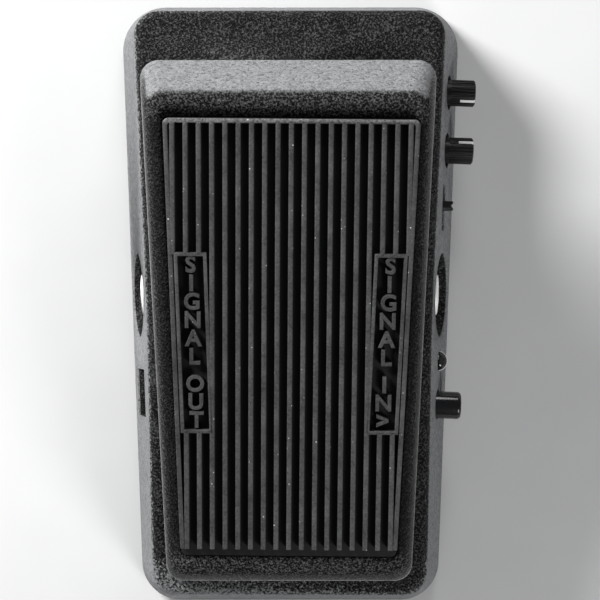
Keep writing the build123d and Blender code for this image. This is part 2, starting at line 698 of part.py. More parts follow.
# ---------------------------------------------------------------- boards and parts on them
def make_main_board():
    middle = (BOARD_SPAN[0] + BOARD_SPAN[1]) / 2
    board = Pos(0, middle, BOARD_TOP - BOARD_THICKNESS) * Box(
        56.0, BOARD_SPAN[1] - BOARD_SPAN[0], BOARD_THICKNESS, align=BASE
    )
    for x, y in BOARD_POSTS:
        board -= Pos(x, y, 0) * rod(SMALL_SCREW_RADIUS + FIXED_GAP, 0, 12)
    return board


def make_board_screws():
    screw = Rot(X=180) * pan_screw(SMALL_SCREW_RADIUS, 6.0, SMALL_HEAD_RADIUS, 1.4)
    return Compound([Pos(x, y, BOARD_TOP - BOARD_THICKNESS) * screw for x, y in BOARD_POSTS])


def make_control_board():
    return wall_plane(1, 36.0) * Pos(0, 0, -11.6) * Box(44.0, 17.0, 1.6, align=BASE)


def make_boost_board():
    return wall_plane(1, -19.5) * Pos(0, 0.6, -13.6) * Box(25.0, 12.8, 1.6, align=BASE)


def on_board(x, y, shape):
    return Pos(x, y, BOARD_TOP) * shape


def make_inductor():
    core = rod(6.8, 0.8, 9.4)
    core = fillet(core.edges().filter_by(GeomType.CIRCLE), 1.2)
    core += block(9.0, 9.0, 0.0, 1.4)
    return on_board(0, -46, core)


def make_electrolytics():
    can = rod(2.6, 0.0, 8.0)
    can = fillet(can.edges().group_by(Axis.Z)[-1], 0.5)
    return Compound([on_board(x, y, can) for x, y in ((-14, -44), (-14, -36), (13, -50))])


def make_film_capacitors():
    box = block(7.2, 3.0, 0.0, 6.5)
    box = fillet(box.edges().group_by(Axis.Z)[-1], 0.5)
    return Compound([on_board(13.0, y, box) for y in (-42.0, -37.0, -32.0)])


def make_resistors():
    part = Pos(0, 0, 1.2) * Cylinder(0.9, 4.6, rotation=(0, 90, 0))
    for x in (-2.9, 2.9):
        part += Pos(x, 0, 0) * block(0.5, 0.5, 0.0, 1.45)
        part += Pos(x * 0.87, 0, 1.2) * Box(1.2, 0.5, 0.5)
    return Compound([on_board(x, -35.6 + 3.2 * i, part) for x in (-4.5, 3.5) for i in range(5)])


def make_chips():
    chip = block(9.6, 6.2, 0.7, 3.9)
    chip = chamfer(chip.edges().group_by(Axis.Z)[-1], 0.4)
    for i in range(4):
        for side in (-1, 1):
            chip += Pos(-3.81 + 2.54 * i, side * 3.3, 0) * block(0.6, 0.5, 0.0, 2.2)
            chip += Pos(-3.81 + 2.54 * i, side * 3.1, 2.0) * Box(0.6, 0.8, 0.4)
    return Compound([on_board(-15.0, -53.0, chip), on_board(0.0, -17.0, chip)])


def wire(points, radii):
    path = FilletPolyline(*points, radius=radii)
    return sweep(Plane(origin=path @ 0, z_dir=path % 0) * Circle(0.55), path=path)


def landing(x):
    """Last points of a lead, where it rises over the main board's edge."""
    return [(x, -4.5, 5.0), (x, -8.5, BOARD_TOP + 0.6), (x, -13.2, BOARD_TOP + 0.6)]


def make_wiring():
    """Three leads from the toe switch and three from the main pot, along the base."""
    leads = []
    for i in range(3):
        x = 6.0 + 2.0 * i
        points = [(x, 40.4, 8.6), (x, 36.0, 5.0)] + landing(x)
        leads.append(wire(points, 3.5))
    for i in range(3):
        x = -8.6 - 2.1 * i
        points = [(x, 22.4, 8.6), (x, 18.0, 5.0)] + landing(x)
        leads.append(wire(points, 3.5))
    return Compound(leads)


def make_ribbon():
    """Flat cable from the control board to the main board, under the input socket."""
    line = FilletPolyline((16.0, 8.0), (12.0, 4.9), (-3.5, 4.9), (-7.5, 7.9), (-13.2, 7.9), radius=2.5)
    strip = extrude(trace(line, 0.8), amount=7.0)
    return Pos(18.2, 0, 0) * upright * strip


save("case", make_case())
save("base_plate", make_base_plate())
save("base_screws", make_base_screws())
save("rubber_feet", make_feet())
save("pivot_bushings", make_bushings())
save("heel_bumpers", make_bumpers(HEEL_BUMPER, 4.0, HEEL_BUMPER_HEIGHT))
save("toe_bumpers", make_bumpers(TOE_BUMPER, 4.0, TOE_BUMPER_HEIGHT))
save("treadle", make_treadle())
save("treadle_mat", make_mat())
save("pivot_shaft", make_pivot_shaft())
save("pivot_set_screws", make_set_screws())
save("gear_sector", make_gear_sector())
save("gear_sector_screws", make_sector_screws())
save("toe_striker_pad", make_striker())
save("pinion", make_pinion())
save("main_pot_shaft", make_pot_shaft())
save("main_pot_housing", make_pot_housing())
save("main_pot_nut", make_pot_nut())
save("pot_bracket", make_pot_bracket())
save("pot_bracket_screws", make_bracket_screws())
save("toe_switch_body", make_toe_switch())
save("toe_switch_nut", make_toe_switch_nut())
save("toe_plunger", make_toe_plunger())
for name, y, angle in (("q", KNOB_Y[0], POINTER_ANGLE[0]), ("volume", KNOB_Y[1], POINTER_ANGLE[1])):
    place = wall_plane(1, y)
    save(name + "_knob", place * make_knob(angle))
    save(name + "_knob_pointer", place * make_pointer(angle))
    save(name + "_pot_shaft", place * rod(KNOB_SHAFT_RADIUS, -9.2, KNOB_END - 1.7))
    save(name + "_pot_housing", place * make_control_pot())
save("range_switch_body", wall_plane(1, SLIDE_Y, SLIDE_Z) * make_slide_switch())
save("range_slider", wall_plane(1, SLIDE_Y, SLIDE_Z) * make_range_slider())
save("boost_switch_body", wall_plane(1, BOOST_Y) * make_boost_switch())
save("boost_button", wall_plane(1, BOOST_Y) * make_boost_button())
save("boost_lamp", wall_plane(1, LAMP_Y) * make_lamp())
save("input_jack", wall_plane(1, JACK_Y) * make_jack())
save("input_jack_nut", wall_plane(1, JACK_Y) * make_jack_nut())
save("output_jack", wall_plane(-1, JACK_Y) * make_jack())
save("output_jack_nut", wall_plane(-1, JACK_Y) * make_jack_nut())
save("jack_lugs", make_jack_lugs())
save("power_inlet", make_power_inlet())
save("power_inlet_pin", make_power_pin())
save("main_board", make_main_board())
save("board_screws", make_board_screws())
save("control_board", make_control_board())
save("boost_board", make_boost_board())
save("inductor", make_inductor())
save("electrolytic_capacitors", make_electrolytics())
save("film_capacitors", make_film_capacitors())
save("resistors", make_resistors())
save("op_amp_chips", make_chips())
save("wiring_leads", make_wiring())
save("ribbon_cable", make_ribbon())
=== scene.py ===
"""Looks of a compact rocker effect pedal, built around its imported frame."""
import json
import math

import bmesh
import bpy
from mathutils import Matrix, Vector

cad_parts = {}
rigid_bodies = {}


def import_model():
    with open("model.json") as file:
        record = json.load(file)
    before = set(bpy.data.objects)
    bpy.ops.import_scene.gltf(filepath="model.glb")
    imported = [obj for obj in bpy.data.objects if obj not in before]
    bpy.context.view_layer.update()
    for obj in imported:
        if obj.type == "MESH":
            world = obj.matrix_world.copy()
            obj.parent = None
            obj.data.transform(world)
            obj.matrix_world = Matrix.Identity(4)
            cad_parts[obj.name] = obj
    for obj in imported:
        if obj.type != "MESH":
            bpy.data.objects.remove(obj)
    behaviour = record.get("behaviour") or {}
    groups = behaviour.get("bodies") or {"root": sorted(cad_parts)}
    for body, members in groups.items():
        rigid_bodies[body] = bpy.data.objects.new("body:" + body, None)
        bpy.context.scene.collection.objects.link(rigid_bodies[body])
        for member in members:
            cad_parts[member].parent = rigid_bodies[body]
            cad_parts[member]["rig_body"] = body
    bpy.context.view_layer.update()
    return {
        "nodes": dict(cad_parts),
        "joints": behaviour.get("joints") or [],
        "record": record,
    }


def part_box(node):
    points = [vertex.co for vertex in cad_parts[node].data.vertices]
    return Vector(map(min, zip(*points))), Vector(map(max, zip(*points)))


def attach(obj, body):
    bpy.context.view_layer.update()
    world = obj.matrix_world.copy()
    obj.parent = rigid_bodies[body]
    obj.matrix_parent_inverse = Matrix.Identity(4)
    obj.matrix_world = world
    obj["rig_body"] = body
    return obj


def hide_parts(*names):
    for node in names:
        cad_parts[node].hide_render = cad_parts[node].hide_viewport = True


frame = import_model()

bl_info = {
    "name": "Rocker Pedal",
    "version": (1, 0, 0),
    "blender": (4, 5, 0),
    "location": "3D View > Sidebar > Rocker Pedal",
    "description": "Dresses a rocker pedal's frame: coated castings, ribbed mat, controls and stage",
    "category": "Object",
}

MM = 0.001
REST_TILT = math.radians(11)
PIVOT = Vector(next(j["pos_m"] for j in frame["joints"] if j["name"] == "treadle_rock"))
MIDDLE_X = PIVOT.x
TREADLE = Matrix.Translation(PIVOT) @ Matrix.Rotation(REST_TILT, 4, "X")
KNOB_JOINTS = {"q_knob": "q_turn", "volume_knob": "volume_turn"}
POINTER_ANGLES = {"q_knob": math.radians(44), "volume_knob": math.radians(-35)}

# Every measure below is in metres.
WELD = 2e-6             # points closer than this are one
SINK = 0.1 * MM         # how far one moulded solid is set into the next
SMOOTH_ANGLE = math.radians(35)
BEVEL_ANGLE = math.radians(40)

# The case where its two coats meet.
ROOF_Z = 0.031          # height of the roof's level part
ROOF_FLAT = 0.008       # its reach to the toe and to the heel
TOE_FALL = 0.069        # how steeply the roof falls beyond it
HEEL_FALL = 0.129
LINE_TILT = 0.018       # fall of the line towards the right
HEEL_BEND = 0.056       # past here towards the heel the line rises
HEEL_RISE = 0.0016
BLACK_REACH = 0.061     # the pockets' black ends here, to the toe and to the heel
WALL_HALF = 0.03945     # half width of the pockets' faces halfway along, at WALL_Z
WALL_SPREAD = 0.0385    # its growth towards the toe
WALL_Z = 0.0025
WALL_DRAFT = math.tan(math.radians(12.5))

# The treadle, along (u) and square to (w) its own top.
TOE_FACE_U = 0.0556     # lower edge of its raked toe face
TOE_FACE_RAKE = 5.9 / 14
TOP_EDGE_W = 0.0134     # where the top's rounded edge starts
LEDGE_HALF = 0.0298     # half width over the pivot at the ledges' outer sides
LEDGE_SPREAD = 0.0345   # its growth towards the toe
LEDGE_LOW_W = 0.0112
LEDGE_TOE_U = 0.0445
LEDGE_HEEL_U = -0.0556
EDGE_WEAR_AND_HIGHLIGHT_TOE_U = 0.0515     # the worn lower edge and its painted highlight stop here
SWITCH_NECK_Z = 0.0242  # where the toe switch's housing ends and its neck starts


def joint(name):
    return next(j for j in frame["joints"] if j["name"] == name)


# ---------------------------------------------------------------- shader maths
class Sock:
    """A shader socket whose Python operators add Math nodes."""

    def __init__(self, tree, socket):
        self.tree = tree
        self.socket = socket

    def math(self, operation, *values):
        node = self.tree.nodes.new("ShaderNodeMath")
        node.operation = operation
        for slot, value in zip(node.inputs, values):
            if isinstance(value, Sock):
                self.tree.links.new(value.socket, slot)
            else:
                slot.default_value = value
        return Sock(self.tree, node.outputs[0])

    def __add__(self, other):
        return self.math("ADD", self, other)

    __radd__ = __add__

    def __sub__(self, other):
        return self.math("SUBTRACT", self, other)

    def __rsub__(self, other):
        return self.math("SUBTRACT", other, self)

    def __mul__(self, other):
        return self.math("MULTIPLY", self, other)

    __rmul__ = __mul__

    def __truediv__(self, other):
        return self.math("DIVIDE", self, other)

    def at_least(self, other):
        return self.math("MAXIMUM", self, other)

    def ramp(self, low, high):
        """0 below low, 1 above high and a straight line between them."""
        share = (self - low) / (high - low)
        return share.math("MINIMUM", share.at_least(0.0), 1.0)

    def magnitude(self):
        return self.math("ABSOLUTE", self)


class NodeTree:
    """A node tree with a short way to add nodes."""

    def node(self, kind, settings=None, values=None):
        """Add a node: its settings first, then the values or links of its sockets."""
        node = self.tree.nodes.new(kind)
        for key, value in (settings or {}).items():
            setattr(node, key, value)
        for key, value in (values or {}).items():
            if isinstance(value, Sock):
                value = value.socket
            if isinstance(value, bpy.types.NodeSocket):
                self.tree.links.new(value, node.inputs[key])
            else:
                node.inputs[key].default_value = value
        return node


class Finish(NodeTree):
    """One material: a Principled shader and short ways to add nodes in front of it."""

    def __init__(self, name, **constants):
        self.material = bpy.data.materials.new(name)
        self.material.use_nodes = True
        self.tree = self.material.node_tree
        self.shader = self.tree.nodes["Principled BSDF"]
        sockets = {socket.name.lower().replace(" ", "_"): socket for socket in self.shader.inputs}
        for key, value in constants.items():
            sockets[key].default_value = value
        self.place = self.node("ShaderNodeTexCoord").outputs["Object"]

    def out(self, node, name=0):
        return Sock(self.tree, node.outputs[name])

    def noise(self, size, detail=2.0, roughness=0.5, stretch=(1, 1, 1)):
        """Noise whose features are about size metres across."""
        where = self.place
        if stretch != (1, 1, 1):
            where = self.node("ShaderNodeMapping", None, {"Vector": where, "Scale": stretch}).outputs[0]
        made = self.node(
            "ShaderNodeTexNoise", None,
            {"Vector": where, "Scale": 1 / size, "Detail": detail, "Roughness": roughness},
        )
        return self.out(made, "Fac")

    def cells(self, size):
        """Distance to the nearest of many points about size metres apart."""
        made = self.node("ShaderNodeTexVoronoi", None, {"Vector": self.place, "Scale": 1 / size})
        return self.out(made, "Distance")

    def axes(self):
        parts = self.node("ShaderNodeSeparateXYZ", None, {"Vector": self.place})
        return [self.out(parts, i) for i in range(3)]

    def mix(self, factor, first, second):
        """Blend two colours, each a socket or three numbers, by a socket."""
        first, second = (c if isinstance(c, Sock) else (*c[:3], 1.0) for c in (first, second))
        made = self.node("ShaderNodeMix", {"data_type": "RGBA"}, {0: factor, 6: first, 7: second})
        return self.out(made, 2)

    def feed(self, label, value):
        self.tree.links.new(value.socket, self.shader.inputs[label])

    def colour(self, value):
        self.feed("Base Color", value)

    def roughness(self, value):
        self.feed("Roughness", value)

    def metallic(self, value):
        self.feed("Metallic", value)

    def bump(self, height, distance):
        made = self.node("ShaderNodeBump", None, {"Height": height, "Distance": distance})
        self.feed("Normal", self.out(made))


# ---------------------------------------------------------------- finishes
def crinkle(finish, look):
    """Black wrinkle coat: colour, roughness and height sockets; its ridges are painted paler as glints
    of light.
    """
    folds = finish.noise(look.crinkle_size, 2.0, 0.7)
    patches = finish.noise(look.crinkle_size * 14, 2.0, 0.5)
    # the ridges lighten towards the glint colour: painted highlights on the wrinkles
    grain = (folds + (patches - 0.5) * 0.12).ramp(0.47, 0.72)
    return finish.mix(grain, look.coat_low, look.coat_glint), 0.66 - grain * 0.2, folds.ramp(0.3, 0.7)


def hammertone(finish, look):
    """Silver-grey orange-peel coat with painted shade in its dimples: colour, roughness and height
    sockets.
    """
    peel = finish.noise(look.peel_size, 2.0, 0.5)
    speck = finish.noise(look.peel_size * 0.3, 2.0, 0.6)
    pits = finish.noise(look.peel_size * 0.45, 2.0, 0.6)
    tone = finish.mix((peel * 0.35 + speck * 0.65).ramp(0.36, 0.64), look.wall_low, look.wall_high)
    # the dimples are darkened towards half the dark tone: painted shade in them
    tone = finish.mix(pits.ramp(0.3, 0.46), [c * 0.5 for c in look.wall_low], tone)
    return tone, 0.45 + speck * 0.16, (peel * 0.4 + pits * 0.6).ramp(0.3, 0.6)


def two_tone(name, look, mask_of, ledge_shade_of=None, edge_wear_and_highlight_of=None):
    """Coated casting: mask_of gives 1 where the silver-grey coat is and 0 on the black one,
    the next argument where painted shade darkens the black coat and hides its painted glints, and the
    last where an edge is worn pale with a painted highlight along it."""
    finish = Finish(name, specular_ior_level=0.08)
    mask = mask_of(finish)
    black, black_rough, black_height = crinkle(finish, look)
    grey, grey_rough, grey_height = hammertone(finish, look)
    # on the treadle the ridges' painted glints are brighter, and painted shade darkens the ledges
    # beside the mat
    if ledge_shade_of:
        ridges = [c * look.treadle_glint_gain for c in look.coat_glint]
        paler = finish.mix(black_height.ramp(0.38, 1.0), look.coat_low, ridges)
        black = finish.mix(ledge_shade_of(finish) * 0.8, paler, look.coat_low)
    coat = finish.mix(mask, black, grey)
    # a pale band along the treadle's lower edge: worn paint with a painted highlight
    finish.colour(finish.mix(edge_wear_and_highlight_of(finish), coat, look.edge_wear_and_highlight_tone) if edge_wear_and_highlight_of else coat)
    finish.roughness(black_rough * (1 - mask) + grey_rough * mask)
    height = black_height * (1 - mask) + grey_height * mask * 0.8
    finish.bump(height, look.coat_relief)
    return finish.material


def case_mask(look):
    """Grey walls up to a line that follows the roof; the roof, pockets and inside are black."""

    def build(finish):
        x, y, z = finish.axes()
        toe_fall = (y - ROOF_FLAT).at_least(0.0) * TOE_FALL
        heel_fall = (y * -1 - ROOF_FLAT).at_least(0.0) * HEEL_FALL
        grains = finish.noise(0.0006, 2.0, 0.65) - 0.5
        below = ROOF_Z - toe_fall - heel_fall - look.coat_line - z - (x - MIDDLE_X) * LINE_TILT
        below = below + (y * -1 - HEEL_BEND).ramp(0.0, 0.012) * HEEL_RISE
        wall = (below + grains * 0.0065).ramp(-0.0002, 0.0006)
        half = WALL_HALF + y * WALL_SPREAD - (z - WALL_Z) * WALL_DRAFT
        sunk = (half - (x - MIDDLE_X).magnitude()).ramp(0.0003, 0.0005)
        straight = (BLACK_REACH - y.magnitude()).ramp(0.0, 0.0004)
        return wall * (1 - sunk * straight)

    return build


def treadle_axes(finish):
    """Distances from the pivot along the treadle and square to it, as sockets."""
    _, y, z = finish.axes()
    ahead = y - PIVOT.y
    above = z - PIVOT.z
    along = ahead * math.cos(REST_TILT) + above * math.sin(REST_TILT)
    return along, above * math.cos(REST_TILT) - ahead * math.sin(REST_TILT)


def treadle_mask(finish):
    """Grey on the toe face, fading in grains round its corners, with grey specks low on the sides that
    are partly the grey coat and partly a painted sheen of side light.
    """
    u, w = treadle_axes(finish)
    fine = finish.noise(0.0006, 2.0, 0.65)
    grain = (fine - 0.5) * 0.0016
    toward = u + w * TOE_FACE_RAKE - TOE_FACE_U
    under = TOP_EDGE_W - w + grain * 0.5
    face = (toward + grain).ramp(-0.0024, -0.0014) * under.ramp(-0.0003, 0.0003)
    # grey specks thinning upwards on the sides: partly the grey coat, partly a painted sheen of side
    # light
    dust_and_sheen = (fine - 0.36 - w * (0.36 / 0.014)).ramp(0.0, 0.1) * 0.75
    edge = (0.0011 - w.magnitude()).ramp(0.0, 0.0003)
    return face.at_least(dust_and_sheen.at_least(edge))


def ledge_shade_mask(finish):
    """1 on the ledges beside the mat, where painted shade darkens the black coat and hides its painted
    glints.
    """
    u, w = treadle_axes(finish)
    x = finish.axes()[0]
    beside = (LEDGE_HALF + u * LEDGE_SPREAD - (x - MIDDLE_X).magnitude()).ramp(0.0, 0.0018)
    along = (LEDGE_TOE_U - u).ramp(0.0, 0.002) * (u - LEDGE_HEEL_U).ramp(0.0, 0.002)
    return beside * (w - LEDGE_LOW_W).ramp(0.0, 0.0016) * along


def edge_wear_and_highlight_mask(finish):
    """1 along the treadle's lower edge at its sides and heel, broken up by grains: worn paint with a
    painted highlight along it.
    """
    u, w = treadle_axes(finish)
    band = (0.0009 - w.magnitude()).ramp(0.0, 0.0003) * (EDGE_WEAR_AND_HIGHLIGHT_TOE_U - u).ramp(0.0, 0.002)
    return band * finish.noise(0.0012, 2.0, 0.6).ramp(0.3, 0.55)


def rubber(name, low, high):
    """Matt moulded rubber with a cloudy tone."""
    finish = Finish(name)
    cloud = finish.noise(0.0055, 3.0, 0.6)
    grain = finish.noise(0.00044, 2.0, 0.6)
    finish.colour(finish.mix((cloud * 0.6 + grain * 0.4).ramp(0.36, 0.64), low, high))
    finish.roughness(0.5 + cloud * 0.22)
    finish.bump(cloud * 0.5 + grain * 0.5, 0.00006)
    return finish.material


def mat_rubber(mat):
    """Rubber of the mat: near-black grooves of painted shade, paler crowns mottled with scuffs and
    dusty specks, and a painted highlight along the toe rim.
    """
    finish = Finish("mat_rubber", specular_ior_level=0.35)
    u, w = treadle_axes(finish)
    cloud = finish.noise(0.0055, 3.0, 0.6)
    grain = finish.noise(0.0005, 2.0, 0.6)
    crown_tone = finish.mix((cloud * 0.5 + grain * 0.5).ramp(0.34, 0.66), mat.low, mat.high)
    crown = (w + (grain - 0.5) * 0.0004).ramp(mat.floor + 0.0011, mat.top)
    # a paler band along the toe rim's crown: a painted highlight
    highlit = (u - mat.toe + mat.rim).ramp(0.0, mat.rim / 2) * grain.ramp(0.3, 0.7)
    crown_tone = finish.mix(highlit, crown_tone, [c * 2.2 for c in mat.high])
    # the grooves take the near-black groove colour: painted shade down between the ribs
    tone = finish.mix(crown, mat.groove_shade, crown_tone)
    motes = finish.cells(0.0017)
    spread = finish.noise(0.006, 2.0, 0.5).ramp(0.48, 0.72)
    dust_and_sheen = (0.11 - motes).ramp(0.0, 0.04) * spread * crown
    finish.colour(finish.mix(dust_and_sheen, tone, (0.6, 0.6, 0.58)))
    finish.roughness(0.72 - crown * 0.16 + cloud * 0.1)
    finish.bump(cloud * 0.4 + grain * 0.6, 0.00005)
    return finish.material


def metal(name, low, high, rough, size=0.0012, stretch=(1, 1, 1), metallic=1.0):
    """Plated or ground metal with faint drawing marks and uneven polish."""
    finish = Finish(name, metallic=metallic)
    marks = finish.noise(size, 3.0, 0.6, stretch)
    smudge = finish.noise(0.006, 2.0, 0.5)
    finish.colour(finish.mix((marks * 0.6 + smudge * 0.4).ramp(0.35, 0.65), low, high))
    finish.roughness(rough + marks * 0.12 + smudge * 0.08 - 0.08)
    finish.bump(marks, 0.00001)
    return finish.material


def plastic(name, low, high, rough, coat=0.0):
    """Moulded plastic with a faint mould texture."""
    finish = Finish(name, coat_weight=coat, coat_roughness=0.08, specular_ior_level=0.2)
    mould = finish.noise(0.0007, 2.0, 0.55)
    flow = finish.noise(0.005, 2.0, 0.5)
    finish.colour(finish.mix((mould * 0.5 + flow * 0.5).ramp(0.35, 0.65), low, high))
    finish.roughness(rough + mould * 0.1 - 0.05)
    finish.bump(mould, 0.00001)
    return finish.material


def switch_finish():
    """Blue moulded switch housing under a plated threaded neck."""
    finish = Finish("switch_blue")
    grain = finish.noise(0.001, 2.0, 0.5)
    neck = (finish.axes()[2] - SWITCH_NECK_Z).ramp(0.0, 0.0001)
    housing = finish.mix(grain, (0.02, 0.05, 0.2), (0.03, 0.08, 0.28))
    plating = finish.mix(grain, (0.5, 0.5, 0.5), (0.66, 0.66, 0.65))
    finish.colour(finish.mix(neck, housing, plating))
    finish.metallic(neck)
    finish.roughness(0.3 + grain * 0.15)
    return finish.material


def lamp_lens():
    """Water-clear lens, painted near-black face on as shade inside it and pale where its dome turns
    away as a painted rim highlight.
    """
    finish = Finish("lamp_clear", ior=1.45)
    haze = finish.noise(0.0016, 2.0, 0.5)
    turned = finish.out(finish.node("ShaderNodeLayerWeight", None, {"Blend": 0.4}), "Facing")
    rim_highlight_tone = finish.mix(haze.ramp(0.3, 0.7), (0.88, 0.89, 0.9), (0.96, 0.96, 0.97))
    # pale where the dome turns from view: a painted rim highlight; near-black face on: painted shade
    # inside the lens
    rim = turned.ramp(0.5, 0.75)
    finish.colour(finish.mix(rim, (0.004, 0.004, 0.004), rim_highlight_tone))
    finish.roughness(0.05 + haze * 0.08)
    finish.feed("Alpha", rim * 0.35 + 0.65)
    return finish.material


def board_coat(name):
    """Green solder resist with paler tracks running under it."""
    finish = Finish(name, coat_weight=0.3)
    waves = finish.node(
        "ShaderNodeTexWave", {"wave_type": "BANDS", "bands_direction": "DIAGONAL"},
        {"Vector": finish.place, "Scale": 180.0, "Distortion": 5.0, "Detail": 1.0},
    )
    tracks = finish.out(waves, "Fac").ramp(0.7, 0.75)
    finish.colour(finish.mix(tracks, (0.01, 0.07, 0.025), (0.03, 0.15, 0.06)))
    finish.roughness(0.3 + finish.noise(0.002) * 0.2)
    finish.bump(tracks, 0.00003)
    return finish.material


def banded(name, coat, bands, pitch):
    """Small parts with printed rings along X, as on coated resistors."""
    finish = Finish(name, roughness=0.4)
    turned = finish.axes()[0] * (2 * math.pi / pitch)
    wave = turned.math("SINE", turned)
    grain = finish.noise(0.0012)
    ground = finish.mix(grain, coat, [c * 1.2 for c in coat])
    finish.colour(finish.mix(wave.ramp(0.55, 0.65), ground, bands))
    finish.roughness(0.35 + grain * 0.15)
    return finish.material


# ---------------------------------------------------------------- mesh helpers
def new_piece(name, mesh, material=None):
    piece = bpy.data.objects.new(name, mesh)
    bpy.context.scene.collection.objects.link(piece)
    if material:
        mesh.materials.clear()
        mesh.materials.append(material)
    return piece


def smooth_mesh(name, shape, angle=SMOOTH_ANGLE):
    """A mesh from a bmesh, which is freed, smooth up to an angle."""
    mesh = bpy.data.meshes.new(name)
    shape.to_mesh(mesh)
    shape.free()
    mesh.shade_smooth()
    mesh.set_sharp_from_angle(angle=angle)
    return mesh


def from_bmesh(name, shape, material):
    """Finish a bmesh as an object: doubles merged and normals outwards."""
    bmesh.ops.remove_doubles(shape, verts=shape.verts, dist=1e-7)
    bmesh.ops.recalc_face_normals(shape, faces=shape.faces)
    return new_piece(name, smooth_mesh(name, shape), material)


def evaluated_mesh(piece):
    """The mesh of an object after its modifiers, or of a letter's curve."""
    graph = bpy.context.evaluated_depsgraph_get()
    return bpy.data.meshes.new_from_object(piece.evaluated_get(graph))


def settled(piece):
    """Apply a piece's modifiers to its mesh and drop them."""
    mesh = evaluated_mesh(piece)
    piece.modifiers.clear()
    piece.data = mesh
    mesh.shade_smooth()
    mesh.set_sharp_from_angle(angle=SMOOTH_ANGLE)
    return piece


def soften(piece, width, segments=2):
    """Round every sharp edge of a piece by a real bevel."""
    bevel = piece.modifiers.new("soft_edges", "BEVEL")
    bevel.width = width
    bevel.segments = segments
    bevel.limit_method = "ANGLE"
    bevel.angle_limit = BEVEL_ANGLE
    return settled(piece)


def welded(node):
    """A bmesh of a CAD node with its loose triangles joined, so that its fillets shade smoothly."""
    shape = bmesh.new()
    shape.from_mesh(frame["nodes"][node].data)
    bmesh.ops.remove_doubles(shape, verts=shape.verts, dist=WELD)
    return shape


def merged_copy(node, name, material, angle=32.0):
    """A copy of a CAD node, smooth up to an angle in degrees."""
    return new_piece(name, smooth_mesh(name, welded(node), math.radians(angle)), material)


def prism(shape, outline, low, high):
    """Closed solid between two heights over a counter-clockwise outline."""
    bottom = [shape.verts.new((x, y, low)) for x, y in outline]
    top = [shape.verts.new((x, y, high)) for x, y in outline]
    shape.faces.new(list(reversed(bottom)))
    shape.faces.new(top)
    count = len(outline)
    for i in range(count):
        j = (i + 1) % count
        shape.faces.new((bottom[i], bottom[j], top[j], top[i]))


def lathe(shape, profile, steps=48):
    """Turn a closed profile of (radius, height) points about Z; ends on the axis are capped."""
    rings = []
    for radius, height in profile:
        if radius < 1e-9:
            rings.append([shape.verts.new((0, 0, height))])
        else:
            turns = [2 * math.pi * i / steps for i in range(steps)]
            spots = [(radius * math.cos(a), radius * math.sin(a), height) for a in turns]
            rings.append([shape.verts.new(spot) for spot in spots])
    for low, high in zip(rings, rings[1:]):
        for i in range(steps):
            j = (i + 1) % steps
            if len(low) == 1:
                shape.faces.new((low[0], high[j], high[i]))
            elif len(high) == 1:
                shape.faces.new((low[i], low[j], high[0]))
            else:
                shape.faces.new((low[i], low[j], high[j], high[i]))


def arc(centre, radius, start, stop, steps):
    """Points along an arc, angles in degrees."""
    angles = [math.radians(start + (stop - start) * i / steps) for i in range(steps + 1)]
    return [(centre[0] + radius * math.cos(a), centre[1] + radius * math.sin(a)) for a in angles]


def rounded_profile(radius, low, high, rim, steps=4):
    """Solid turned profile with a rounded top rim."""
    points = [(0, low), (radius, low)]
    points += arc((radius - rim, high - rim), rim, 0, 90, steps)
    return points + [(0, high)]


# ---------------------------------------------------------------- geometry node trees
class Growth(NodeTree):
    """A geometry node tree with named inputs, built in the script."""

    def __init__(self, name, inputs):
        self.tree = bpy.data.node_groups.new(name, "GeometryNodeTree")
        self.socket("Geometry", "INPUT", "Geometry")
        for label, kind, default in inputs:
            made = self.socket(label, "INPUT", kind)
            if default is not None:
                made.default_value = default
        self.socket("Geometry", "OUTPUT", "Geometry")
        self.start = self.tree.nodes.new("NodeGroupInput")
        self.end = self.tree.nodes.new("NodeGroupOutput")

    def socket(self, label, side, kind):
        return self.tree.interface.new_socket(label, in_out=side, socket_type="NodeSocket" + kind)

    def given(self, label):
        return self.start.outputs[label]

    def math(self, operation, *values):
        return self.node("ShaderNodeMath", {"operation": operation}, dict(enumerate(values))).outputs[0]

    def place(self):
        """X, Y and Z of the points, as the outputs of one node."""
        position = self.node("GeometryNodeInputPosition").outputs[0]
        return self.node("ShaderNodeSeparateXYZ", None, {0: position}).outputs

    def close(self, points, shape, values=None):
        """Set a shape on points, make it real, give it the tree's material and end the tree."""
        source = self.node("GeometryNodeObjectInfo", None, {"Object": self.given(shape)})
        copies = self.node("GeometryNodeInstanceOnPoints", None, {
            "Points": points, "Instance": source.outputs["Geometry"], **(values or {}),
        })
        real = self.node("GeometryNodeRealizeInstances", None, {0: copies.outputs[0]})
        painted = self.node("GeometryNodeSetMaterial", None, {
            "Geometry": real.outputs[0], "Material": self.given("Material"),
        })
        self.tree.links.new(painted.outputs[0], self.end.inputs[0])
        return self


def grown(host, growth, values):
    """Run a tree on an object with its inputs set by identifier, and keep the plain mesh."""
    modifier = host.modifiers.new("growth", "NODES")
    modifier.node_group = growth.tree
    for item in growth.tree.interface.items_tree:
        if item.item_type == "SOCKET" and item.in_out == "INPUT" and item.name in values:
            modifier[item.identifier] = values[item.name]
    return settled(host)


